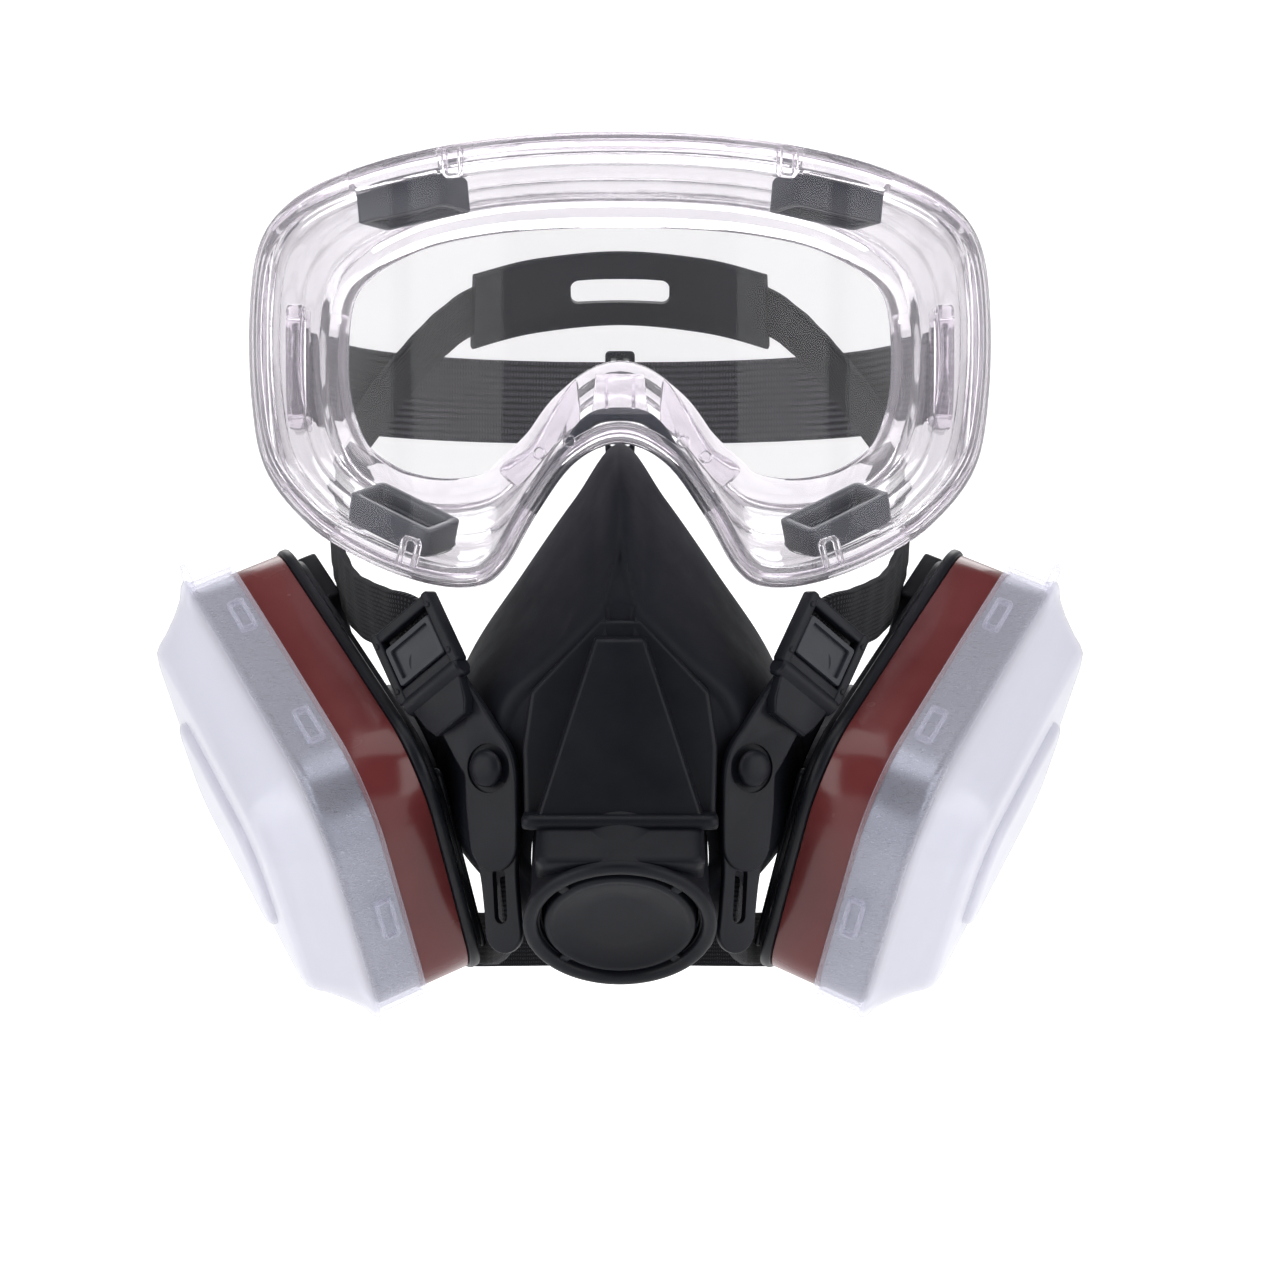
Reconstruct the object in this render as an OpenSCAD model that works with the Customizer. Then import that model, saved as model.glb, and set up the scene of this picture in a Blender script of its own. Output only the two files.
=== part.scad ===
// Reusable half-mask respirator with twin bayonet gas cartridges, cotton prefilters
// and a wraparound indirect-vent goggle, worn together as full face protection.
// +Z is up, the wearer looks along -Y, and +X is the wearer's left-hand side.
// The origin is the base of the wearer's nose, in the mid plane.

/* [Facepiece] */
// Wall thickness of the moulded rubber facepiece
mask_wall = 2.6; // [2.2:0.1:3.2]
// Radius of the hole that each inhalation port is pushed into
port_hole_r = 18; // [17.9:0.05:18.4]
// Radius of the exhalation housing
exhale_r = 20; // [19:0.25:20.5]
// Angle of the exhalation port below the horizontal
exhale_drop = 46; // [40:1:52]

/* [Cartridge] */
// Length of a cartridge along its long side
cart_l = 108; // [104:1:110]
// Width of a cartridge at mid length
cart_w = 76; // [72:1:78]
// Difference in width between the front end and the rear end
cart_taper = 5; // [0:1:8]
// Corner radius of the cartridge outline
cart_r = 17.5; // [14:0.5:20]
// Depth of the cartridge body, base to grille
cart_depth = 30; // [28:1:32]
// Height of the label band above the black base
label_h = 13; // [10:1:13]
// Height of the retainer cap's raised face above the cartridge body
cap_rise = 13; // [11:1:15]

/* [Goggle] */
// Radius of the outer face of the wraparound lens
lens_r = 110; // [108:1:114]
// Thickness of the lens
lens_t = 2.2; // [1.6:0.1:2.6]
// How far the middle of the lens stands in front of the origin
lens_front = 62; // [60:1:64]

/* [Straps] */
// Width of the elastic webbing on the half mask
mask_strap_w = 16; // [12:1:18]
// Thickness of the elastic webbing
strap_t = 1.6; // [1.2:0.1:2]
// Width of the goggle headband
goggle_strap_w = 25; // [20:1:28]

/* [Fits] */
// Free gap between pieces that move past each other
gap = 0.4; // [0.35:0.05:0.6]
// Radial clearance of an arm on its stud
stud_play = 0.05; // [0.02:0.01:0.08]
// Hair line between pieces of one assembly that only rest on each other
seat_gap = 0.15; // [0.1:0.01:0.2]

/* [Hidden] */
$fn = 64;

// Colours
rubber_black = [0.05, 0.05, 0.06];
plastic_black = [0.08, 0.08, 0.09];
webbing_black = [0.10, 0.10, 0.11];
valve_amber = [0.75, 0.55, 0.30];
label_brown = [0.42, 0.15, 0.13];
can_silver = [0.70, 0.71, 0.73];
cap_white = [0.93, 0.93, 0.96, 0.6];
cotton_white = [0.96, 0.96, 0.95];
carbon_black = [0.03, 0.03, 0.03];
frame_clear = [0.85, 0.83, 0.87, 0.5];
lens_clear = [0.90, 0.88, 0.92, 0.3];
vent_grey = [0.22, 0.23, 0.26];

// Cartridge placing: the middle of its base, and how it is turned
cart_at = [59, -6.5, -26.7];
cart_yaw = 15.6;
cart_pitch = 22.2;
cart_roll = 54;
// Bayonet port, along the cartridge's long side from its middle
port_shift = 12;
collar_r = 15.5;
base_bore_r = 18.4;
// Angle of the first bayonet lug, and the twist that frees the cartridge
lug_turn = 17;
twist = 30;
base_h = 5;
base_floor = 2.2;
cap_t = 1.1;
cap_inset = 9;
pad_t = 7;

// Exhalation port: the middle of its outer face
exhale_at = [0, -84, -64];

// Harness stud, at the middle of the arm's outer face
stud_at = [30, -73, -29];
stud_yaw = 30;
stud_r = 3;
arm_t = 2.4;
buckle_at = [46.5, -62.5, -2];
buckle_w = 21;
buckle_h = 18;

// Goggle
lens_axis_y = lens_r - lens_front;
frame_front_r = lens_r - lens_t - seat_gap;
vent_upper_at = [50, -33, 106.5];
vent_lower_at = [53, -27, 29];
// Where the headband runs round the back of the head
band_back_y = 116;
band_z = 72;

// ---------------------------------------------------------------- helpers

function unit(v) = v / norm(v);
function flat_x(p) = [-p[0], p[1], p[2]];

// One point of a Catmull-Rom curve between b and c
function curve_at(a, b, c, d, t) =
    0.5 * (2 * b + (c - a) * t + (2 * a - 5 * b + 4 * c - d) * t * t
        + (3 * b - a - 3 * c + d) * t * t * t);

// Smooth closed curve through pts, n steps for each control point
function closed_curve(pts, n) = let (m = len(pts))
    [for (i = [0:m - 1]) for (k = [0:n - 1])
        curve_at(pts[(i + m - 1) % m], pts[i], pts[(i + 1) % m], pts[(i + 2) % m], k / n)];

// Smooth open curve through pts
function open_curve(pts, n) = let (m = len(pts))
    concat([for (i = [0:m - 2]) for (k = [0:n - 1])
        curve_at(pts[max(i - 1, 0)], pts[i], pts[i + 1], pts[min(i + 2, m - 1)], k / n)],
        [pts[m - 1]]);

// Half an outline, top to bottom, made whole by its mirror image
function whole(half) = concat(half, [for (i = [len(half) - 2:-1:1]) flat_x(half[i])]);

function middle(ring) = [for (k = [0:2]) [for (p = ring) p[k]] * [for (p = ring) 1] / len(ring)];

// A ring drawn in towards its own middle by d in the XZ plane and moved by dy
function drawn_in(ring, d, dy) = let (c = middle(ring))
    [for (p = ring) let (r = [c[0] - p[0], 0, c[2] - p[2]])
        p + unit(r) * d + [0, dy, 0]];

// A flat closed outline of [x, z] pairs moved sideways by d along its own normals
function inset(pts, d) = let (m = len(pts))
    [for (i = [0:m - 1]) let (t = unit(pts[(i + 1) % m] - pts[(i + m - 1) % m]))
        pts[i] + d * [t[1], -t[0]]];

// Solid through a list of rings with the same number of points each
module skin(rings, flip = false, looped = false) {
    n = len(rings[0]);
    m = len(rings);
    pts = concat([for (r = rings) each r], [middle(rings[0]), middle(rings[m - 1])]);
    last = looped ? m - 1 : m - 2;
    walls = [for (i = [0:last]) for (j = [0:n - 1])
        let (a = i * n + j, b = i * n + (j + 1) % n,
             c = ((i + 1) % m) * n + (j + 1) % n, d = ((i + 1) % m) * n + j)
        each [[a, c, b], [a, d, c]]];
    caps = looped ? [] : [for (j = [0:n - 1])
        let (k = (j + 1) % n, e = (m - 1) * n)
        each [[m * n, j, k], [m * n + 1, e + k, e + j]]];
    faces = concat(walls, caps);
    used = looped ? [for (r = rings) each r] : pts;
    polyhedron(used, flip ? [for (f = faces) [f[0], f[2], f[1]]] : faces, convexity = 8);
}

// Flat band of width w and thickness t along a path, lying against a body centred on hub
module band(path, w, t, hub) {
    m = len(path);
    skin([for (i = [0:m - 1])
        let (along = unit(path[min(i + 1, m - 1)] - path[max(i - 1, 0)]),
             out = path[i] - hub,
             nrm = unit(out - (out * along) * along),
             wide = cross(along, nrm))
        [path[i] + wide * w / 2 + nrm * t / 2, path[i] + wide * w / 2 - nrm * t / 2,
         path[i] - wide * w / 2 - nrm * t / 2, path[i] - wide * w / 2 + nrm * t / 2]]);
}

// The wearer's left side is +X, and the right side is its mirror image
module on_right() {
    mirror([1, 0, 0]) children();
}

// Local frame of the left cartridge: +X along its long side, +Z out of its face
module at_cartridge() {
    translate(cart_at) rotate([0, 90 + cart_pitch, -cart_yaw]) rotate([0, 0, 180 - cart_roll])
        children();
}

module at_port() {
    at_cartridge() translate([-port_shift, 0, 0]) children();
}

// Local frame of the exhalation port: +Z outwards, from the middle of its face
module at_exhale() {
    translate(exhale_at) rotate([90 + exhale_drop, 0, 0]) children();
}

// Local frame of the left harness arm: +Z away from the face, +Y up the arm
module at_stud() {
    translate(stud_at) rotate([0, 0, stud_yaw]) rotate([90, 0, 0]) children();
}

module ring(r_out, r_in, h) {
    rotate_extrude() translate([r_in, 0]) square([r_out - r_in, h]);
}

// ------------------------------------------------------------- facepiece

// Outer surface of the facepiece from the face seal forwards, half of each ring
mask_rings = [
    [[0, -22, 46], [11, -14, 32], [23, -4, 14], [36, 4, -4], [42, 8, -24], [40, 8, -46],
     [30, 3, -64], [17, -8, -76], [0, -14, -82]],
    [[0, -38, 47], [11, -33, 34], [24, -27, 16], [37, -19, -3], [45, -15, -24], [43, -15, -46],
     [29, -21, -64], [15, -30, -76], [0, -34, -80]],
    [[0, -58, 35], [8, -56, 24], [20, -53, 8], [34, -50, -8], [42, -48, -26], [38.5, -48, -46],
     [26, -50, -61], [14, -53, -69], [0, -56, -72]],
    [[0, -74, 13], [6, -74, 8], [16, -73, -2], [27, -70, -13], [31, -68, -28], [29, -68, -45],
     [21, -68, -57], [10, -66, -65], [0, -65, -68]]];
mask_outer = [for (r = mask_rings) closed_curve(whole(r), 3)];
mask_inner = [for (i = [0:len(mask_outer) - 1])
    drawn_in(mask_outer[i], i == 0 ? 7 : mask_wall + 0.8, i == 0 ? 1.5 : 0)];
front_shift = [0, mask_wall, 0];

module facepiece_outer() {
    skin(mask_outer, flip = true);
}

module facepiece() color(rubber_black) {
    difference() {
        union() {
            skin(concat([for (i = [len(mask_inner) - 1:-1:0])
                    [for (p = mask_inner[i]) p + (i == len(mask_inner) - 1 ? front_shift : [0, 0, 0])]],
                mask_outer), flip = true);
            port_boss();
            on_right() port_boss();
        }
        port_room();
        on_right() port_room();
        at_exhale() translate([0, 0, -30]) cylinder(r = exhale_r + seat_gap, h = 40);
        stud_hole();
        on_right() stud_hole();
    }
}

module port_boss() {
    at_port() translate([0, 0, -17]) cylinder(r = port_hole_r + 4, h = 12);
}

module port_room() at_port() {
    translate([0, 0, -30]) cylinder(r = port_hole_r, h = 40);
    translate([0, 0, -4.7 - seat_gap]) cylinder(r = port_hole_r + 4 + gap, h = 20);
}

module stud_hole() {
    at_stud() translate([0, 0, -8]) cylinder(r = stud_r + 2.1, h = 20);
}

cover_back = [[0, 4.5], [5.5, 4.5], [20, -11.5], [22.5, -24], [21.5, -42]];
cover_mid = [[0, 3], [4.5, 3], [18, -12], [20, -24], [19.5, -44]];
cover_top = [[0, -0.5], [3.8, -0.5], [9, -14], [13, -30], [17.5, -45]];

function cover_ring(half, y_top, y_low) = let (z0 = half[0][1], z1 = half[4][1],
        all = concat(half, [for (i = [4:-1:1]) [-half[i][0], half[i][1]]]))
    [for (p = all) [p[0], y_top + (y_low - y_top) * (z0 - p[1]) / (z0 - z1), p[1]]];

module front_cover() color(plastic_black) difference() {
    union() {
        skin([cover_ring(cover_back, -64, -64), cover_ring(cover_back, -77, -78.5),
            cover_ring(cover_mid, -79.5, -81.5), cover_ring(cover_top, -81, -88)], flip = true);
        // Brow over the exhalation port
        translate([0, -84, -45.2]) hull() {
            cube([37, 7, 5], center = true);
            translate([0, 3, 5]) cube([35, 5, 3], center = true);
        }
    }
    translate([0, -seat_gap, 0]) facepiece_outer();
    at_exhale() translate([0, 0, -30]) cylinder(r = exhale_r + seat_gap, h = 34);
}

module exhalation_housing() color(plastic_black) at_exhale() {
    difference() {
        union() {
            translate([0, 0, -27]) cylinder(r = exhale_r, h = 25);
            translate([0, 0, -5]) cylinder(r = exhale_r + 0.8, h = 3);
        }
        translate([0, 0, -28]) cylinder(r = exhale_r - 2.2, h = 30);
        // Snap groove for the cover's skirt
        translate([0, 0, -4.5]) ring(exhale_r - 1.6, exhale_r - 2.3, 1.2);
    }
}

module exhalation_seat() color(plastic_black) at_exhale() translate([0, 0, -19]) {
    seat_r = exhale_r - 2.2 - seat_gap;
    ring(seat_r, seat_r - 3.5, 3);
    cylinder(r = 3.2, h = 3);
    for (a = [0:60:300]) rotate([0, 0, a])
        translate([2.8, -0.7, 0.4]) cube([seat_r - 5, 1.4, 2]);
    cylinder(r = 0.9, h = 5.5);
    translate([0, 0, 5.5]) cylinder(r = 1.5, h = 1);
}

module exhalation_flap() color(valve_amber) at_exhale() translate([0, 0, -15.95])
    difference() {
        union() {
            cylinder(r = exhale_r - 4.5, h = 0.6);
            cylinder(r = 2.4, h = 1);
        }
        translate([0, 0, -1]) cylinder(r = 1.7, h = 4);
    }

module exhalation_cover() color(plastic_black) at_exhale() {
    lip_r = exhale_r + 1.6;
    // Outer rim, turned back over the housing
    translate([0, 0, -1.6]) ring(lip_r, exhale_r - 2.8, 1.6);
    translate([0, 0, -8]) ring(exhale_r - 2.2 - gap, exhale_r - 4, 8);
    translate([0, 0, -2.8]) cylinder(r = exhale_r - 5.2, h = 1.6);
    for (a = [0:3]) rotate([0, 0, 45 + 90 * a])
        translate([exhale_r - 6, -1.1, -3.4]) cube([2.6, 2.2, 2.4]);
}

// ----------------------------------------------------- inhalation port

module inhalation_port() color(plastic_black) at_port() {
    tube_r = port_hole_r - seat_gap;
    rotate_extrude() polygon([[collar_r - 2, 4.5], [collar_r, 4.5], [collar_r, -2.2],
        [port_hole_r + 4, -2.2], [port_hole_r + 4, -4.7], [tube_r, -4.7], [tube_r, -17],
        [tube_r - 2.2, -17], [tube_r - 2.2, -4], [collar_r - 2, -4]]);
    // Bayonet lugs
    for (a = [0:2]) rotate([0, 0, lug_turn + 120 * a])
        translate([collar_r - 1, -4, 2.6]) cube([2.9, 8, 1.9]);
    // Spider that backs the inhalation flap, with the flap's stud
    translate([0, 0, -13]) {
        ring(tube_r - 1, tube_r - 5.2, 1.6);
        for (a = [0:5]) rotate([0, 0, lug_turn + 60 * a])
            translate([2, -0.6, 0.1]) cube([tube_r - 6.6, 1.2, 1.3]);
        rotate_extrude() polygon([[0, 1.6], [2.6, 1.6], [2.6, 0], [0.9, 0], [0.9, -3.6],
            [1.4, -3.6], [1.4, -4.4], [0, -4.4]]);
    }
}

module inhalation_flap() color(valve_amber) at_port() translate([0, 0, -13.65])
    difference() {
        cylinder(r = port_hole_r - 3.6, h = 0.6);
        translate([0, 0, -1]) cylinder(r = 1.2, h = 3);
    }

module port_gasket() color(rubber_black) at_port()
    translate([0, 0, -2.2]) ring(port_hole_r + 3, collar_r + 0.5, 1.8);

// ------------------------------------------------------------ cartridge

// Rounded outline of the cartridge, wider at its front end, drawn in by d
function cart_outline(d = 0) = let (r = max(cart_r - d * 0.6, 4), a = cart_l / 2 - d - r,
        w0 = (cart_w + cart_taper / 2) / 2 - d - r, w1 = (cart_w - cart_taper / 2) / 2 - d - r)
    [for (k = [0:3]) for (s = [0:7])
        let (sx = (k == 0 || k == 3) ? 1 : -1, sy = k < 2 ? 1 : -1)
        [sx * a + r * cos(90 * k + 90 * s / 7), sy * (sx > 0 ? w1 : w0) + r * sin(90 * k + 90 * s / 7)]];

function at_level(outline, z) = [for (p = outline) [p[0], p[1], z]];

module slab(z0, z1, d) {
    translate([0, 0, z0]) linear_extrude(z1 - z0) polygon(cart_outline(d));
}

module cartridge_base() color(plastic_black) at_cartridge() difference() {
    union() {
        slab(0, 2, 3);
        slab(2, base_h, -0.6);
    }
    slab(base_floor, base_h + 1, 1.4);
    translate([-port_shift, 0, -1]) {
        cylinder(r = collar_r + 0.6, h = 5);
        // Notches that let the bayonet lugs in at the end of the twist
        for (a = [0:2]) rotate([0, 0, lug_turn + 120 * a + twist]) intersection() {
            cylinder(r = base_bore_r, h = 5);
            translate([0, -4.6, 0]) cube([base_bore_r, 9.2, 5]);
        }
    }
}

module cartridge_can() color(can_silver) at_cartridge() difference() {
    slab(base_h + seat_gap, cart_depth, 0.6);
    slab(base_h + 1.4, cart_depth - 1.6, 1.8);
    translate([-port_shift, 0, base_h - 1]) cylinder(r = base_bore_r, h = 4);
    slab(cart_depth - 1.7, cart_depth + 1, 4.5);
}

module cartridge_label() color(label_brown) at_cartridge() difference() {
    slab(base_h + 0.2, base_h + 0.2 + label_h, 0.15);
    slab(base_h, base_h + 1 + label_h, 0.6);
}

module inner_screen() color(can_silver) at_cartridge() difference() {
    slab(base_h + 1.6, base_h + 2.6, 2.2);
    for (i = [-5:5]) for (j = [-3:3])
        translate([i * 8.6, j * 8.6, base_h]) cylinder(r = 2.2, h = 4, $fn = 6);
}

module carbon_bed() color(carbon_black) at_cartridge()
    slab(base_h + 2.8, cart_depth - 3, 2.4);

module outer_grille() color(can_silver) at_cartridge() difference() {
    slab(cart_depth - 2.8, cart_depth - 1.8, 2.2);
    for (i = [-5:5]) for (j = [-3:3])
        translate([i * 8.6, j * 8.6, cart_depth - 4]) cylinder(r = 2.6, h = 4, $fn = 6);
}

module prefilter_pad() color(cotton_white) at_cartridge() hull() {
    slab(cart_depth + gap, cart_depth + gap + 1.4, 3);
    slab(cart_depth + pad_t, cart_depth + gap + pad_t, 8);
}

module retainer_cap() color(cap_white) at_cartridge() difference() {
    top = cart_depth + cap_rise;
    mid = cart_depth + 1;
    foot = base_h + label_h - 0.6;
    union() {
        skin([at_level(cart_outline(cap_inset + cap_t), top - cap_t),
            at_level(cart_outline(cap_inset - 1 + cap_t), top - 3),
            at_level(cart_outline(1.8), mid), at_level(cart_outline(0.0 - gap + 0.6), mid - 1),
            at_level(cart_outline(-gap), foot),
            at_level(cart_outline(-gap - cap_t), foot), at_level(cart_outline(-gap - cap_t), mid),
            at_level(cart_outline(0.4), mid + 1.4),
            at_level(cart_outline(cap_inset - 2), top - 3), at_level(cart_outline(cap_inset), top)]);
        // Finger tab at the top corner
        translate([cart_l / 2 - 9, cart_w / 2 - 8, mid - 4]) rotate([0, 0, 45])
            translate([4.4, -5, 0]) cube([4.6, 10, 1.4]);
    }
    // Air slots in the raised face
    for (i = [-3:3]) translate([i * 10.5 - 2, -cart_w / 4, top - 4]) cube([4, cart_w / 2, 8]);
    // Windows for the clips in the skirt
    for (x = [-30, 26]) for (s = [-1, 1])
        translate([x, s * cart_w / 2, foot + 4]) cube([8, 8, 2.4], center = true);
    translate([cart_l / 2, 0, foot + 4]) cube([8, 8, 2.4], center = true);
    translate([-cart_l / 2, 0, foot + 4]) cube([8, 8, 2.4], center = true);
}

// -------------------------------------------------------------- harness

module harness_stud() color(plastic_black) at_stud() {
    translate([0, 0, -7]) cylinder(r = stud_r + 2, h = 3.9);
    translate([0, 0, -3.2]) cylinder(r = stud_r, h = 3.8);
    translate([0, 0, 0.4]) intersection() {
        cylinder(r = stud_r + 1, h = 2);
        translate([0, 0, -5.5]) sphere(r = 7.4);
    }
}

module capsule(a, b, r, h) {
    linear_extrude(h) hull() {
        translate(a) circle(r = r, $fn = 32);
        translate(b) circle(r = r, $fn = 32);
    }
}

arm_top = [16, 23];
arm_tail = [-3.5, -37];

module harness_arm() color(plastic_black) difference() {
    at_stud() translate([0, 0, -arm_t - 0.3]) difference() {
        union() {
            capsule([0, 0], arm_top * 0.72, 6.4, arm_t);
            capsule(arm_top * 0.5, arm_top, 5.6, arm_t);
            capsule([0, 2], [-1, -17], 6.8, arm_t);
            capsule([-1, -15], arm_tail, 4.8, arm_t - 0.7);
        }
        // Recess and bore for the stud
        translate([0, 0, arm_t - 0.9]) cylinder(r = stud_r + 2.6, h = 2);
        translate([0, 0, -1]) cylinder(r = stud_r + stud_play, h = arm_t + 2);
        // Slot for the lower strap
        translate([0, 0, -1]) capsule([-2.4, -24], [-2.9, -33], 1.7, arm_t + 2);
        translate(concat(arm_top * 0.62, -1)) rotate([0, 0, -35]) translate([-3, -1, 0])
            cube([6, 2, arm_t + 2]);
    }
    buckle_room(seat_gap);
}

// Local frame of the left buckle: +Y along the strap, +Z away from the face
module at_buckle() {
    translate(buckle_at) rotate([0, 0, 38]) rotate([90, 0, 0]) rotate([0, 0, -32]) children();
}

// The buckle's outside, grown by g
module buckle_room(g) {
    at_buckle() cube([buckle_w + 2 * g, buckle_h + 2 * g, 3.4 + 2 * g], center = true);
}

module buckle_frame() color(plastic_black) at_buckle() difference() {
    translate([-buckle_w / 2, -buckle_h / 2, -1.7]) cube([buckle_w, buckle_h, 3.4]);
    translate([-buckle_w / 2 + 2.2, -buckle_h / 2 + 2.4, -3])
        cube([buckle_w - 4.4, buckle_h - 4.8, 6]);
}

module buckle_plate() color(vent_grey) at_buckle() {
    w = buckle_w - 4.4 - 2 * seat_gap;
    difference() {
        translate([-w / 2, -5, -1.1]) cube([w, 8.6, 2.2]);
        translate([-w / 2 + 1.6, -3.6, 0.4]) cube([w - 3.2, 5.4, 2]);
    }
}

head_hub = [0, 22, 30];
upper_route = [[43.8, -60.7, -4.7], [48.6, -56.8, 2.6], [55.2, -48, 4.9], [65, -27, 9.8], [72, 0, 20.2],
    [76.5, 30, 34], [73.5, 62, 58], [58.1, 88.4, 83.9], [47, 103.2, 96.6]];
lower_route = [[25.6, -70.6, -60], [27, -58, -64], [28.5, -42, -70], [31.5, -20, -74],
    [43, 8, -77], [57, 35, -80], [60.5, 60, -84], [49, 85, -88.5], [27, 96.5, -90],
    [13.6, 98, -90]];
neck_hub = [0, 22, -84];
clip_at = [0, 95.2, -98.5];

module upper_strap() color(webbing_black) difference() {
    band(open_curve(upper_route, 4), mask_strap_w, strap_t, head_hub);
    buckle_room(gap);
    at_stud() translate([0, 0, -arm_t - 0.3 - gap])
        capsule([0, 0], arm_top, 6.4 + gap, arm_t + 2 * gap);
}

module lower_strap() color(webbing_black)
    band(open_curve(lower_route, 3), mask_strap_w - 3, strap_t, neck_hub);

module head_cradle() color(plastic_black) difference() {
    band(open_curve([[-44, 103.6, 98], [-26, 113, 104], [0, 117, 107], [26, 113, 104],
        [44, 103.6, 98]], 4), 26, 2.2, head_hub);
    translate([0, 116, 106]) cube([30, 20, 8], center = true);
}

module neck_clip_hook() color(plastic_black) translate(clip_at + [2.2, 0, 0]) {
    difference() {
        cube([11, 5.5, 17]);
        translate([4, -1, 3]) cube([2.4, 8, 11]);
    }
    translate([-7, 3.4, 3.5]) cube([7.2, 2.1, 10]);
}

module neck_clip_loop() color(plastic_black) translate(clip_at - [13.2, 0, 0]) difference() {
    cube([15, 5.5, 17]);
    translate([7.4, 2.7, 3.1]) cube([9, 3.5, 10.8]);
    translate([4, -1, 3]) cube([2.4, 8, 11]);
}

// --------------------------------------------------------------- goggle

lens_half = [[0, 117.5], [20, 117.2], [40, 116], [62, 113.2], [80, 108.5], [90.5, 100],
    [94, 84], [93.5, 62], [89, 43], [76, 28], [61, 19], [46, 13.4], [34, 12.4], [27, 16.5],
    [19.5, 29], [10.5, 41], [0, 45.6]];
face_half = [[0, 113], [17, 113], [34, 112.4], [53, 110], [69, 104], [78, 95],
    [81, 80], [80, 62], [74, 47], [63, 38], [52, 34], [41, 33], [31, 35], [24.5, 40],
    [17, 47], [10, 56], [0, 62]];
function flat_whole(half) = concat(half, [for (i = [len(half) - 2:-1:1]) [-half[i][0], half[i][1]]]);
lens_outline = closed_curve(flat_whole(lens_half), 2);
face_outline = closed_curve(flat_whole(face_half), 2);

function on_lens(outline, r) = [for (p = outline)
    [p[0], lens_axis_y - sqrt(r * r - p[0] * p[0]), p[1]]];
function on_face(outline, dy) = [for (p = outline) [p[0], p[0] * p[0] / 150 - 8 + dy, p[1]]];
function between(a, b, t) = [for (i = [0:len(a) - 1]) a[i] * (1 - t) + b[i] * t];
function moved(ring, dy) = [for (p = ring) p + [0, dy, 0]];

frame_front = on_lens(lens_outline, frame_front_r);
frame_back = on_face(face_outline, 0);
frame_wall = [frame_front, moved(frame_front, 6),
    between(moved(on_lens(inset(lens_outline, 1.6), frame_front_r), 7), frame_back, 0.02),
    between(frame_front, frame_back, 0.6), frame_back];

module goggle_frame() color(frame_clear) difference() {
    inner = on_lens(inset(lens_outline, 2.6), frame_front_r);
    skin([each frame_wall,
        on_face(inset(face_outline, 8), 1), on_face(inset(face_outline, 8), -1.2),
        moved(on_face(inset(face_outline, 2.2), 0), -2.4),
        between(inner, on_face(inset(face_outline, 2.2), 0), 0.5), inner], looped = true);
    vent_hole();
    on_right() vent_hole();
}

module vent_hole() {
    at_upper_vent() cube([25.4, 13.4, 24], center = true);
    at_lower_vent() cube([25.4, 13.4, 24], center = true);
}

module at_upper_vent() {
    translate(vent_upper_at) rotate([0, 6, 28]) children();
}

module at_lower_vent() {
    translate(vent_lower_at) rotate([0, -24, 28]) rotate([18, 0, 0]) children();
}

module vent_block(h) {
    difference() {
        cube([25, 13, h], center = true);
        for (i = [-2:2]) translate([i * 4.4, 0, 0]) cube([2, 8.6, h + 2], center = true);
    }
}

module upper_vent() color(vent_grey) at_upper_vent() vent_block(8);

module lower_vent() color(vent_grey) at_lower_vent() vent_block(8);

module goggle_lens() color(lens_clear) intersection() {
    translate([0, 60, 0]) rotate([90, 0, 0]) linear_extrude(140) polygon(lens_outline);
    translate([0, lens_axis_y, 0]) difference() {
        cylinder(r = lens_r, h = 140, $fn = 128);
        translate([0, 0, -1]) cylinder(r = lens_r - lens_t, h = 142, $fn = 128);
    }
    translate([-100, -70, 0]) cube([200, 82, 140]);
}

module nose_pad() color(vent_grey) intersection() {
    translate([0, -40, 0]) rotate([90, 0, 0]) linear_extrude(30)
        polygon([[-20, 38.6], [-9.6, 54.6], [9.6, 54.6], [20, 38.6], [19, 37], [9, 52.4], [-9, 52.4], [-19, 37]]);
    translate([0, lens_axis_y, 0]) difference() {
        cylinder(r = frame_front_r - 0.2, h = 80, $fn = 128);
        translate([0, 0, -1]) cylinder(r = frame_front_r - 7, h = 82, $fn = 128);
    }
}

module nose_tab() color(frame_clear)
    translate([-6.3, -59.4, 54.8]) cube([12.6, 3.2, 7.2]);

module strap_clip() color(frame_clear) difference() {
    translate([84.6, 18, band_z - 17]) cube([4.6, 17, 34]);
    translate([80, 23.5, band_z - 13.5]) cube([12, 5, 27]);
    // Way out for the headband, and room for the frame's wall
    translate([86.7 - strap_t / 2 - gap, 24, band_z - goggle_strap_w / 2 - gap])
        cube([strap_t + 2 * gap, 20, goggle_strap_w + 2 * gap]);
    scale([1.004, 1, 1]) skin(frame_wall);
}

half_band = [[86.9, 26, 0], [86.5, 42, 0], [83, 62, 0], [70, 88, 0], [48, 106, 0],
    [22, 114.5, 0], [0, band_back_y, 0]];

module goggle_strap() color(webbing_black)
    band([for (p = open_curve(concat(half_band, [for (i = [5:-1:0]) flat_x(half_band[i])]), 3))
        p + [0, 0, band_z]], goggle_strap_w, strap_t, [0, 20, band_z]);

module goggle_slider() color(plastic_black)
    translate([0, band_back_y + 0.2, band_z]) difference() {
        cube([9, 7.2, goggle_strap_w + 6], center = true);
        cube([12, 4, goggle_strap_w + 1.6], center = true);
    }

// -------------------------------------------------------------- assembly

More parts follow.
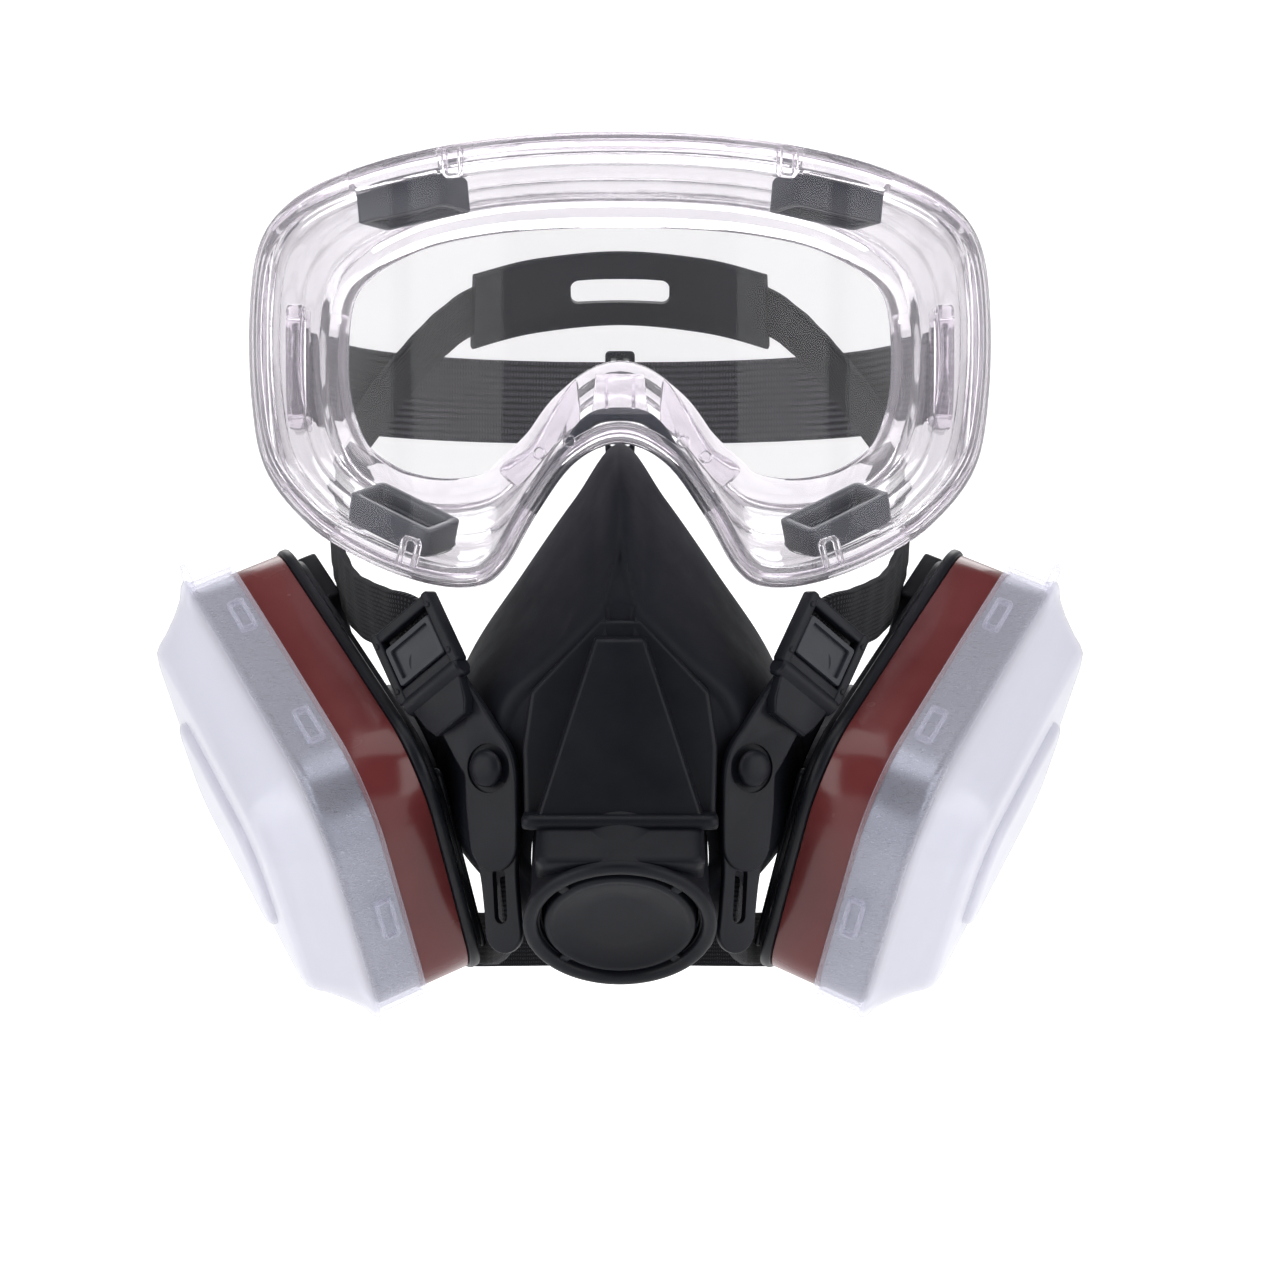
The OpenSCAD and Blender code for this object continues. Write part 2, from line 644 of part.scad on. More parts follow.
facepiece();
front_cover();
exhalation_housing();
exhalation_seat();
exhalation_flap();
exhalation_cover();
inhalation_port();  // inhalation_port_left
on_right() inhalation_port();  // inhalation_port_right
inhalation_flap();  // inhalation_flap_left
on_right() inhalation_flap();  // inhalation_flap_right
port_gasket();  // port_gasket_left
on_right() port_gasket();  // port_gasket_right
cartridge_base();  // cartridge_base_left
on_right() cartridge_base();  // cartridge_base_right
cartridge_can();  // cartridge_can_left
on_right() cartridge_can();  // cartridge_can_right
cartridge_label();  // cartridge_label_left
on_right() cartridge_label();  // cartridge_label_right
inner_screen();  // inner_screen_left
on_right() inner_screen();  // inner_screen_right
carbon_bed();  // carbon_bed_left
on_right() carbon_bed();  // carbon_bed_right
outer_grille();  // outer_grille_left
on_right() outer_grille();  // outer_grille_right
prefilter_pad();  // prefilter_pad_left
on_right() prefilter_pad();  // prefilter_pad_right
retainer_cap();  // retainer_cap_left
on_right() retainer_cap();  // retainer_cap_right
harness_stud();  // harness_stud_left
on_right() harness_stud();  // harness_stud_right
harness_arm();  // harness_arm_left
on_right() harness_arm();  // harness_arm_right
buckle_frame();  // buckle_frame_left
on_right() buckle_frame();  // buckle_frame_right
buckle_plate();  // buckle_plate_left
on_right() buckle_plate();  // buckle_plate_right
upper_strap();  // upper_strap_left
on_right() upper_strap();  // upper_strap_right
lower_strap();  // lower_strap_left
on_right() lower_strap();  // lower_strap_right
head_cradle();
neck_clip_hook();
neck_clip_loop();
goggle_frame();
goggle_lens();
nose_pad();
nose_tab();
upper_vent();  // upper_vent_left
on_right() upper_vent();  // upper_vent_right
lower_vent();  // lower_vent_left
on_right() lower_vent();  // lower_vent_right
strap_clip();  // strap_clip_left
on_right() strap_clip();  // strap_clip_right
goggle_strap();
goggle_slider();
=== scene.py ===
"""Looks of a half-mask respirator with side cartridges and a clear goggle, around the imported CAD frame."""

import logging
import math
from dataclasses import dataclass, field
from enum import Enum
from typing import Iterable, Sequence

import bmesh
import bpy
import numpy as np
from mathutils import Matrix, Vector


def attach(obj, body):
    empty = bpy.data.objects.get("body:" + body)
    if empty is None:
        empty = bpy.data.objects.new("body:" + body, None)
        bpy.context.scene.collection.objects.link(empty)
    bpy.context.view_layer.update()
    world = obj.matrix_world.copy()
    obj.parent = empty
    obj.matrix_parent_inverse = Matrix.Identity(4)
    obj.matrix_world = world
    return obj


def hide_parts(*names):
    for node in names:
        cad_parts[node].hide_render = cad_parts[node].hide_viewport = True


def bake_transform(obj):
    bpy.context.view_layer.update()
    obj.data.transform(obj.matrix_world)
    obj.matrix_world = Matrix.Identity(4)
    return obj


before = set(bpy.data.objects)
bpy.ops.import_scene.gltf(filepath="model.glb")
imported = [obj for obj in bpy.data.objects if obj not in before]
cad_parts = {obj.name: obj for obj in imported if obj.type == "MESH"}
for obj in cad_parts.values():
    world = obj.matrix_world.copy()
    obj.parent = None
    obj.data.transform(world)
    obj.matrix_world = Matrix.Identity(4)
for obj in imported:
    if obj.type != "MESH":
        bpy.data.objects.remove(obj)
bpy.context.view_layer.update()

LOG = logging.getLogger("respirator")
MM = 0.001
STITCH_LENGTH, STITCH_RADIUS, STITCH_PITCH = 1.7, 0.28, 2.3
Array = np.ndarray
Object = bpy.types.Object
Material = bpy.types.Material


class Side(Enum):
    """The wearer's left is +X, and the right is its mirror image."""

    LEFT = "left"
    RIGHT = "right"


class Edge(Enum):
    """How the ends of a loft are finished."""

    OPEN = "open"
    FLAT = "flat"
    LOOPED = "looped"


# ------------------------------------------------------------------ curves


def smooth_curve(points: Sequence[Sequence[float]], steps: int, closed: bool) -> Array:
    """Catmull-Rom curve through points.

    Args:
        points: control points of any dimension.
        steps: curve points for each control point.
        closed: whether the last point joins the first.

    Returns:
        The curve's points, one row each.
    """
    p = np.asarray(points, float)
    m = len(p)
    rows = []
    for i in range(m if closed else m - 1):
        pick = (lambda k: p[k % m]) if closed else (lambda k: p[min(max(k, 0), m - 1)])
        a, b, c, d = (pick(i + k) for k in (-1, 0, 1, 2))
        for t in np.arange(steps) / steps:
            rows.append(0.5 * (2 * b + (c - a) * t + (2 * a - 5 * b + 4 * c - d) * t**2
                               + (3 * b - a - 3 * c + d) * t**3))
    if not closed:
        rows.append(p[-1])
    return np.array(rows)


def whole(half: Sequence[Sequence[float]]) -> Array:
    """An outline from its +X half, which starts and ends on the mid plane."""
    h = np.asarray(half, float)
    back = h[-2:0:-1] * np.array([-1.0] + [1.0] * (h.shape[1] - 1))
    return np.vstack([h, back])


def inset(outline: Array, distance: float | Array) -> Array:
    """A clockwise flat outline moved inwards along its own normals."""
    along = np.roll(outline, -1, 0) - np.roll(outline, 1, 0)
    along /= np.linalg.norm(along, axis=1)[:, None]
    inward = np.stack([along[:, 1], -along[:, 0]], 1)
    return outline + inward * np.reshape(distance, (-1, 1))


def rounded_box(half_x: float, half_y: float, radius: float, steps: int = 6) -> Array:
    """Counter-clockwise rectangle with round corners."""
    rows = []
    for k, (sx, sy) in enumerate(((1, 1), (-1, 1), (-1, -1), (1, -1))):
        for s in range(steps + 1):
            a = math.radians(90 * k + 90 * s / steps)
            rows.append([sx * (half_x - radius) + radius * math.cos(a),
                         sy * (half_y - radius) + radius * math.sin(a)])
    return np.array(rows)


def capsule(a: Sequence[float], b: Sequence[float], radius: float, steps: int = 12) -> Array:
    """Counter-clockwise outline of a bar from a to b with round ends."""
    a, b = np.asarray(a, float), np.asarray(b, float)
    heading = math.atan2(*(b - a)[::-1])
    rows = []
    for centre, start in ((b, heading - math.pi / 2), (a, heading + math.pi / 2)):
        for s in range(steps + 1):
            t = start + math.pi * s / steps
            rows.append(centre + radius * np.array([math.cos(t), math.sin(t)]))
    return np.array(rows)


# --------------------------------------------------------------- placement


def turn(axis: str, degrees: float) -> Array:
    """Rotation matrix about one axis."""
    return np.array(Matrix.Rotation(math.radians(degrees), 3, axis))


@dataclass(frozen=True)
class Placement:
    """Where a local frame sits in the row frame, in millimetres."""

    origin: tuple[float, float, float] = (0, 0, 0)
    turned: Array = field(default_factory=lambda: np.eye(3))

    def place(self, points: Array, side: Side = Side.LEFT) -> Array:
        """Local points in the row frame, mirrored for the right side."""
        out = np.asarray(points, float) @ self.turned.T + np.array(self.origin)
        return out * np.array([-1, 1, 1]) if side is Side.RIGHT else out

    def shifted(self, *offset: float) -> "Placement":
        """The same frame moved by a local offset."""
        return Placement(tuple(self.place(np.array([offset]))[0]), self.turned)


WORLD = Placement()
CARTRIDGE = Placement((59, -6.5, -26.7), turn("Z", -15.6) @ turn("Y", 112.2) @ turn("Z", 126))
PORT = CARTRIDGE.shifted(-12, 0, 0)
EXHALE = Placement((0, -84, -64), turn("X", 136))
STUD = Placement((30, -73, -29), turn("Z", 30) @ turn("X", 90))
BUCKLE = Placement((46.5, -62.5, -2), turn("Z", 38) @ turn("X", 90) @ turn("Z", -32))


# ------------------------------------------------------------------ shapes


class Shape:
    """Vertices in millimetres and faces, gathered before they become a mesh."""

    def __init__(self) -> None:
        self.verts: list[Array] = []
        self.faces: list[list[int]] = []
        self.uvs: list[Array] = []
        self.count = 0

    def add(self, verts: Array, faces: Iterable[Sequence[int]]) -> "Shape":
        """Adds a closed group of faces, whose numbers start at the group's own first vertex."""
        self.faces += [[i + self.count for i in f] for f in faces]
        self.verts.append(np.asarray(verts, float))
        self.count += len(verts)
        return self

    def loft(self, rings: Sequence[Array], ends: Edge = Edge.FLAT, place: Placement = WORLD) -> "Shape":
        """Adds a skin through rings of equal length.

        Args:
            rings: each ring's points, in order.
            ends: flat ends, open ends, or a last ring joined to the first.
            place: frame that the rings are in.

        Returns:
            The shape itself.
        """
        n, m = len(rings[0]), len(rings)
        faces: list[list[int]] = []
        for i in range(m if ends is Edge.LOOPED else m - 1):
            a, b = i * n, ((i + 1) % m) * n
            faces += [[a + j, a + (j + 1) % n, b + (j + 1) % n, b + j] for j in range(n)]
        if ends is Edge.FLAT:
            faces.append(list(range(n))[::-1])
            faces.append([(m - 1) * n + j for j in range(n)])
        return self.add(place.place(np.vstack(rings)), faces)

    def revolve(self, profile: Sequence[Sequence[float]], steps: int = 72,
                place: Placement = WORLD) -> "Shape":
        """Adds a solid of revolution about local Z from a closed (radius, height) profile.

        Points run counter-clockwise in the radius and height plane.
        """
        rings = []
        for k in range(steps):
            a = 2 * math.pi * k / steps
            rings.append(np.array([[r * math.cos(a), r * math.sin(a), z] for r, z in profile]))
        n = len(profile)
        faces = [[i * n + j, ((i + 1) % steps) * n + j, ((i + 1) % steps) * n + (j + 1) % n,
                  i * n + (j + 1) % n] for i in range(steps) for j in range(n)]
        return self.add(place.place(np.vstack(rings)), faces)

    def slab(self, outline: Array, low: float, high: float, edge: float = 0.4, steps: int = 3,
             place: Placement = WORLD) -> "Shape":
        """Adds a flat plate with rounded rims from a counter-clockwise outline."""
        rings = []
        turns = [math.radians(90 * s / steps) for s in range(steps + 1)]
        for t in turns:
            rings.append((edge * (1 - math.sin(t)), low + edge * (1 - math.cos(t))))
        for t in turns[::-1]:
            rings.append((edge * (1 - math.sin(t)), high - edge * (1 - math.cos(t))))
        flat = outline[::-1]
        lofted = [np.column_stack([inset(flat, d)[::-1], np.full(len(flat), z)]) for d, z in rings]
        return self.loft(lofted, Edge.FLAT, place)

    def build(self, name: str, side: Side = Side.LEFT, crease: float = 35) -> Object:
        """Makes the Blender object.

        Args:
            name: the piece's name.
            side: the right side is mirrored in X.
            crease: edges sharper than this many degrees stay sharp.

        Returns:
            The new object, placed in its mesh.
        """
        verts = np.vstack(self.verts) * MM
        faces = self.faces
        if side is Side.RIGHT:
            verts = verts * np.array([-1, 1, 1])
            faces = [f[::-1] for f in faces]
        mesh = bpy.data.meshes.new(name)
        mesh.from_pydata(verts.tolist(), [], faces)
        mesh.validate()
        mesh.polygons.foreach_set("use_smooth", [True] * len(mesh.polygons))
        mesh.set_sharp_from_angle(angle=math.radians(crease))
        obj = bpy.data.objects.new(name, mesh)
        bpy.context.scene.collection.objects.link(obj)
        return obj


def baked(obj: Object) -> Object:
    """Turns an object's modifiers into plain mesh."""
    graph = bpy.context.evaluated_depsgraph_get()
    mesh = bpy.data.meshes.new_from_object(obj.evaluated_get(graph))
    obj.modifiers.clear()
    old = obj.data
    obj.data = mesh
    bpy.data.meshes.remove(old)
    return obj


def cut(obj: Object, cutter: Object, crease: float = 35) -> Object:
    """Removes the cutter's volume from obj, and the cutter itself."""
    tool = obj.modifiers.new("cut", "BOOLEAN")
    tool.operation, tool.solver, tool.object = "DIFFERENCE", "EXACT", cutter
    bpy.context.view_layer.update()
    baked(obj)
    bpy.data.objects.remove(cutter)
    obj.data.polygons.foreach_set("use_smooth", [True] * len(obj.data.polygons))
    obj.data.set_sharp_from_angle(angle=math.radians(crease))
    return obj


def softened(obj: Object, width: float, segments: int = 2, angle: float = 40) -> Object:
    """Rounds the sharp edges of obj by width millimetres."""
    bevel = obj.modifiers.new("edges", "BEVEL")
    bevel.width, bevel.segments = width * MM, segments
    bevel.limit_method, bevel.angle_limit = "ANGLE", math.radians(angle)
    bevel.harden_normals = False
    bevel.use_clamp_overlap = True
    return obj


def dressed(obj: Object, finish: "Finish", body: str, slot: str, *nodes: str) -> Object:
    """Gives a piece its finish, its body and the CAD nodes it stands for.

    Args:
        obj: the piece.
        finish: its finish.
        body: the CAD body it rides on.
        slot: the record's material slot; not used.
        nodes: CAD nodes it replaces.

    Returns:
        The piece.
    """
    obj.data.materials.clear()
    obj.data.materials.append(finish.material())
    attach(obj, body)
    if nodes:
        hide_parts(*nodes)
    LOG.info("%s rides on %s, %d faces", obj.name, body, len(obj.data.polygons))
    return obj


# ---------------------------------------------------------------- finishes


class Nodes:
    """A material's node tree, with short calls for what the finishes share."""

    def __init__(self, name: str) -> None:
        self.made = bpy.data.materials.new(name)
        self.made.use_nodes = True
        self.tree = self.made.node_tree
        self.surface = self.tree.nodes["Principled BSDF"]
        self.output = self.tree.nodes["Material Output"]

    def new(self, kind: str, **values: object) -> bpy.types.Node:
        """A node, with its attributes and then its inputs set by name."""
        node = self.tree.nodes.new(kind)
        for key, value in values.items():
            if hasattr(node, key):
                setattr(node, key, value)
            else:
                node.inputs[key.replace("_", " ").title()].default_value = value
        return node

    def link(self, source: object, target: object) -> None:
        """Joins two sockets."""
        self.tree.links.new(source, target)

    def noise(self, scale: float, detail: float = 4, roughness: float = 0.5,
              stretch: tuple[float, float, float] = (1, 1, 1)) -> object:
        """Noise on object coordinates, as a value socket."""
        place = self.new("ShaderNodeTexCoord")
        grid = self.new("ShaderNodeMapping")
        grid.inputs["Scale"].default_value = stretch
        made = self.new("ShaderNodeTexNoise")
        made.inputs["Scale"].default_value = scale
        made.inputs["Detail"].default_value = detail
        made.inputs["Roughness"].default_value = roughness
        self.link(place.outputs["Object"], grid.inputs["Vector"])
        self.link(grid.outputs["Vector"], made.inputs["Vector"])
        return made.outputs["Fac"]

    def spread(self, source: object, low: float, high: float, start: float = 0.3,
               end: float = 0.7) -> object:
        """A value socket from start to end, mapped to low to high."""
        node = self.new("ShaderNodeMapRange")
        for key, value in (("From Min", start), ("From Max", end), ("To Min", low), ("To Max", high)):
            node.inputs[key].default_value = value
        self.link(source, node.inputs["Value"])
        return node.outputs["Result"]

    def tint(self, source: object, dark: Sequence[float], light: Sequence[float],
             start: float = 0.3, end: float = 0.7) -> object:
        """A colour socket from dark to light."""
        node = self.new("ShaderNodeValToRGB")
        first, last = node.color_ramp.elements
        first.position, first.color = start, (*dark, 1)
        last.position, last.color = end, (*light, 1)
        self.link(source, node.inputs["Fac"])
        return node.outputs["Color"]

    def bump(self, height: object, distance: float, strength: float = 1.0,
             under: object | None = None) -> object:
        """A normal socket from a height socket, distance in millimetres."""
        node = self.new("ShaderNodeBump")
        node.inputs["Strength"].default_value = strength
        node.inputs["Distance"].default_value = distance * MM
        self.link(height, node.inputs["Height"])
        if under is not None:
            self.link(under, node.inputs["Normal"])
        return node.outputs["Normal"]

    def set(self, **values: object) -> None:
        """Sets the Principled shader's own sockets, such as coat_weight=0.3."""
        for key, value in values.items():
            self.surface.inputs[key.replace("_", " ").title().replace("Ior", "IOR")].default_value = value

    def feed(self, name: str, source: object) -> None:
        """Links a socket to a Principled input."""
        self.link(source, self.surface.inputs[name])


class Finish:
    """A finish, made once and shared by its pieces."""

    made: dict["Finish", Material] = {}

    def build(self) -> Material:
        """Makes the material."""
        raise NotImplementedError

    def material(self) -> Material:
        """The finish's one material."""
        if self not in Finish.made:
            Finish.made[self] = self.build()
        return Finish.made[self]


Colour = tuple[float, float, float]


@dataclass(frozen=True)
class Moulded(Finish):
    """Moulded plastic or rubber with a fine spark-eroded grain and faint flow marks."""

    name: str
    dark: Colour
    light: Colour
    rough_low: float = 0.38
    rough_high: float = 0.5
    grain: float = 0.03
    grain_scale: float = 2600
    flow: float = 0.12
    specular: float = 0.45
    sheen: float = 0.0

    def build(self) -> Material:
        """Makes the material."""
        n = Nodes(self.name)
        cloud = n.noise(38, 3)
        n.feed("Base Color", n.tint(cloud, self.dark, self.light))
        n.feed("Roughness", n.spread(n.noise(90, 5, 0.6), self.rough_low, self.rough_high))
        broad = n.bump(n.noise(120, 2), self.flow, 0.35)
        n.feed("Normal", n.bump(n.noise(self.grain_scale, 2, 0.7), self.grain, 0.6, broad))
        n.set(specular_ior_level=self.specular, sheen_weight=self.sheen, sheen_roughness=0.4)
        return n.made


@dataclass(frozen=True)
class Clear(Finish):
    """Clear moulding that bends light, and lets lamps through to what it covers."""

    name: str
    colour: Colour
    roughness: float
    ior: float
    ripple: float
    ripple_scale: float
    haze: float = 0.0
    haze_colour: Colour = (0.9, 0.9, 0.93)

    def build(self) -> Material:
        """Makes the material."""
        n = Nodes(self.name)
        n.set(base_color=(*self.colour, 1), roughness=self.roughness, ior=self.ior,
              transmission_weight=1.0, specular_ior_level=0.5)
        if self.ripple:
            n.feed("Normal", n.bump(n.noise(self.ripple_scale, 2), self.ripple, 0.5))
        passing = n.new("ShaderNodeBsdfTransparent")
        passing.inputs["Color"].default_value = (*[c**0.5 for c in self.colour], 1)
        rays = n.new("ShaderNodeLightPath")
        mix = n.new("ShaderNodeMixShader")
        n.link(rays.outputs["Is Shadow Ray"], mix.inputs["Fac"])
        shown = n.surface.outputs["BSDF"]
        if self.haze:
            milk = n.new("ShaderNodeBsdfDiffuse")
            milk.inputs["Color"].default_value = (*self.haze_colour, 1)
            cloudy = n.new("ShaderNodeMixShader")
            cloudy.inputs["Fac"].default_value = self.haze
            n.link(shown, cloudy.inputs[1])
            n.link(milk.outputs["BSDF"], cloudy.inputs[2])
            shown = cloudy.outputs["Shader"]
        n.link(shown, mix.inputs[1])
        n.link(passing.outputs["BSDF"], mix.inputs[2])
        n.link(mix.outputs["Shader"], n.output.inputs["Surface"])
        return n.made


@dataclass(frozen=True)
class Frosted(Finish):
    """Translucent plastic, clear where the "milk" attribute is 0 and milky where it is 1."""

    name: str
    colour: Colour
    clear_low: float
    clear_high: float
    milk_low: float
    milk_high: float
    roughness: float = 0.28

    def build(self) -> Material:
        """Makes the material."""
        n = Nodes(self.name)
        n.set(base_color=(*self.colour, 1), roughness=self.roughness, ior=1.46,
              specular_ior_level=0.5, coat_weight=0.15, coat_roughness=0.2)
        n.feed("Normal", n.bump(n.noise(60, 2), 0.2, 0.3))
        edge = n.new("ShaderNodeLayerWeight")
        edge.inputs["Blend"].default_value = 0.35
        clear = n.spread(edge.outputs["Facing"], self.clear_low, self.clear_high, 0.0, 0.9)
        milky = n.spread(edge.outputs["Facing"], self.milk_low, self.milk_high, 0.0, 0.9)
        milk = n.new("ShaderNodeAttribute", attribute_name="milk")
        share = n.new("ShaderNodeMix", data_type="FLOAT")
        n.link(milk.outputs["Fac"], share.inputs["Factor"])
        n.link(clear, share.inputs["A"])
        n.link(milky, share.inputs["B"])
        rays = n.new("ShaderNodeLightPath")
        lit = n.spread(rays.outputs["Is Shadow Ray"], 1.0, 0.3, 0.0, 1.0)
        both = n.new("ShaderNodeMath", operation="MULTIPLY")
        n.link(share.outputs["Result"], both.inputs[0])
        n.link(lit, both.inputs[1])
        cover = both.outputs[0]
        passing = n.new("ShaderNodeBsdfTransparent")
        passing.inputs["Color"].default_value = (0.97, 0.97, 1.0, 1)
        mix = n.new("ShaderNodeMixShader")
        n.link(cover, mix.inputs["Fac"])
        n.link(passing.outputs["BSDF"], mix.inputs[1])
        n.link(n.surface.outputs["BSDF"], mix.inputs[2])
        n.link(mix.outputs["Shader"], n.output.inputs["Surface"])
        return n.made


@dataclass(frozen=True)
class Film(Finish):
    """Glossy printed film, plain, with faint waves where it is glued down."""

    name: str
    dark: Colour
    light: Colour

    def build(self) -> Material:
        """Makes the material."""
        n = Nodes(self.name)
        n.feed("Base Color", n.tint(n.noise(30, 3), self.dark, self.light))
        n.feed("Roughness", n.spread(n.noise(60, 3), 0.18, 0.28))
        n.feed("Normal", n.bump(n.noise(40, 1), 0.1, 0.25))
        n.set(coat_weight=0.15, coat_roughness=0.12, specular_ior_level=0.25)
        return n.made


@dataclass(frozen=True)
class Lacquered(Finish):
    """Silver-grey satin lacquer over drawn sheet, with a fine drawing grain."""

    name: str
    dark: Colour
    light: Colour

    def build(self) -> Material:
        """Makes the material."""
        n = Nodes(self.name)
        n.feed("Base Color", n.tint(n.noise(24, 3), self.dark, self.light))
        n.feed("Roughness", n.spread(n.noise(500, 3, 0.6, (1, 1, 6)), 0.24, 0.38))
        n.feed("Normal", n.bump(n.noise(1800, 2, 0.6), 0.004, 0.3))
        n.set(metallic=0.85, coat_weight=0.2, coat_roughness=0.2)
        return n.made


@dataclass(frozen=True)
class Felt(Finish):
    """Needled cotton felt: tangled fibres and needle dimples."""

    name: str
    colour: Colour

    def build(self) -> Material:
        """Makes the material."""
        n = Nodes(self.name)
        fibres = n.noise(900, 6, 0.75)
        shade = tuple(c * 0.82 for c in self.colour)
        n.feed("Base Color", n.tint(fibres, shade, self.colour, 0.3, 0.6))
        dimples = n.new("ShaderNodeTexVoronoi")
        dimples.inputs["Scale"].default_value = 420
        place = n.new("ShaderNodeTexCoord")
        n.link(place.outputs["Object"], dimples.inputs["Vector"])
        pits = n.bump(dimples.outputs["Distance"], 0.25, 0.5)
        n.feed("Normal", n.bump(fibres, 0.3, 0.7, pits))
        n.set(roughness=0.95, sheen_weight=0.5, sheen_roughness=0.6, specular_ior_level=0.1)
        return n.made


@dataclass(frozen=True)
class Webbing(Finish):
    """Woven elastic: ribs along the band crossed by fine picks, on the UV map in millimetres."""

    name: str
    dark: Colour
    light: Colour
    rib: float = 1.6
    pick: float = 0.8

    def build(self) -> Material:
        """Makes the material."""
        n = Nodes(self.name)
        place = n.new("ShaderNodeTexCoord")
        split = n.new("ShaderNodeSeparateXYZ")
        n.link(place.outputs["UV"], split.inputs["Vector"])

        def wave(socket: object, pitch: float, push: object | None = None) -> object:
            """A sine of the given pitch, from 0 to 1."""
            scaled = n.new("ShaderNodeMath", operation="MULTIPLY")
            scaled.inputs[1].default_value = 2 * math.pi / pitch
            n.link(socket, scaled.inputs[0])
            angle = scaled.outputs[0]
            if push is not None:
                moved = n.new("ShaderNodeMath", operation="ADD")
                n.link(angle, moved.inputs[0])
                n.link(push, moved.inputs[1])
                angle = moved.outputs[0]
            sine = n.new("ShaderNodeMath", operation="SINE")
            n.link(angle, sine.inputs[0])
            half = n.new("ShaderNodeMath", operation="MULTIPLY_ADD")
            half.inputs[1].default_value = half.inputs[2].default_value = 0.5
            n.link(sine.outputs[0], half.inputs[0])
            return half.outputs[0]

        ribs = wave(split.outputs["X"], self.rib)
        lean = n.new("ShaderNodeMath", operation="MULTIPLY")
        lean.inputs[1].default_value = 2.6
        n.link(ribs, lean.inputs[0])
        picks = wave(split.outputs["Y"], self.pick, lean.outputs[0])
        cloth = n.new("ShaderNodeMath", operation="MULTIPLY")
        n.link(ribs, cloth.inputs[0])
        n.link(picks, cloth.inputs[1])
        fuzz = n.noise(3000, 3, 0.7)
        both = n.new("ShaderNodeMath", operation="MULTIPLY_ADD")
        both.inputs[1].default_value = 0.25
        n.link(fuzz, both.inputs[0])
        n.link(cloth.outputs[0], both.inputs[2])
        # The colour follows the weave's height, as the bump does: painted shade in the hollows and painted
        # highlight on the crests.
        n.feed("Base Color", n.tint(both.outputs[0], self.dark, self.light, 0.05, 1.0))
        n.feed("Normal", n.bump(both.outputs[0], 0.35, 0.9))
        n.set(roughness=0.85, sheen_weight=0.08, sheen_roughness=0.5, specular_ior_level=0.1)
        return n.made


@dataclass(frozen=True)
class Granules(Finish):
    """Bed of activated carbon granules."""

    name: str

    def build(self) -> Material:
        """Makes the material."""
        n = Nodes(self.name)
        place = n.new("ShaderNodeTexCoord")
        cells = n.new("ShaderNodeTexVoronoi")
        cells.inputs["Scale"].default_value = 700
        n.link(place.outputs["Object"], cells.inputs["Vector"])
        # Each cell is lighter in its middle and darker towards its edge, where granules meet: painted shade
        # in the gaps between granules.
        n.feed("Base Color", n.tint(cells.outputs["Distance"], (0.03, 0.03, 0.032), (0.008, 0.008, 0.009)))
        n.feed("Normal", n.bump(cells.outputs["Distance"], 0.8, 1.0))
        n.set(roughness=0.7)
        return n.made


RUBBER = Moulded("mask_rubber", (0.0035, 0.004, 0.0065), (0.0055, 0.0062, 0.0095), 0.5, 0.62, 0.035, 2200,
                 specular=0.11)
COVER = Moulded("cover_plastic", (0.0035, 0.004, 0.006), (0.0055, 0.0062, 0.009), 0.36, 0.48, 0.03, 2800,
                specular=0.13)
HARNESS = Moulded("harness_plastic", (0.004, 0.0045, 0.0068), (0.0065, 0.0072, 0.0105), 0.34, 0.46, 0.03,
                  2800, specular=0.15)
PORT_FINISH = Moulded("port_plastic", (0.03, 0.03, 0.034), (0.045, 0.045, 0.05), 0.4, 0.5)
BASE = Moulded("base_plastic", (0.0035, 0.004, 0.0062), (0.006, 0.0068, 0.0098), 0.32, 0.44, 0.02, 2800,
               specular=0.17)
BUCKLE_GREY = Moulded("buckle_grey", (0.012, 0.0135, 0.019), (0.017, 0.019, 0.026), 0.4, 0.5, specular=0.3)
VALVE = Moulded("valve_rubber", (0.5, 0.33, 0.15), (0.62, 0.42, 0.2), 0.35, 0.45, 0.01, 2000, 0.05)
VENT = Moulded("vent_grey", (0.006, 0.0072, 0.0135), (0.0105, 0.0125, 0.0215), 0.34, 0.46, 0.02, 2600,
               specular=0.25)
# Lighter, glossier copy of the vent finish for the lower vents' mouths: a painted highlight for the light on
# their bevels; the upper vents keep the plain vent finish.
VENT_LIT_COPY = Moulded("vent_lit_copy", (0.02, 0.022, 0.03), (0.03, 0.033, 0.043), 0.3, 0.4, 0.02, 2600, specular=0.35)
SILVER = Lacquered("can_silver", (0.20, 0.21, 0.235), (0.27, 0.28, 0.305))
BROWN = Film("label_brown", (0.092, 0.017, 0.018), (0.12, 0.025, 0.025))
FROST = Frosted("cap_white", (0.58, 0.58, 0.645), 0.07, 0.45, 0.5, 0.9)
COTTON = Felt("cotton", (0.84, 0.84, 0.85))
# The webbings' dark colours are painted shade in the weave's hollows, their light colours painted highlight
# on its crests.
ELASTIC = Webbing("webbing", (0.002, 0.002, 0.003), (0.017, 0.018, 0.023), 1.1, 0.7)
BAND = Webbing("headband", (0.006, 0.006, 0.008), (0.075, 0.075, 0.085), 1.9, 0.9)
THREAD = Moulded("thread", (0.03, 0.03, 0.033), (0.07, 0.07, 0.075), 0.5, 0.7, 0.02, 6000, 0.02, 0.4, 0.3)
CARBON = Granules("carbon")
VINYL = Clear("frame_clear", (0.90, 0.868, 0.905), 0.05, 1.42, 0.25, 90, 0.05, (0.75, 0.73, 0.78))
LENS = Clear("lens_clear", (0.965, 0.955, 0.97), 0.0, 1.16, 0.0, 1.0, 0.01)


# ------------------------------------------------------------ shared makers


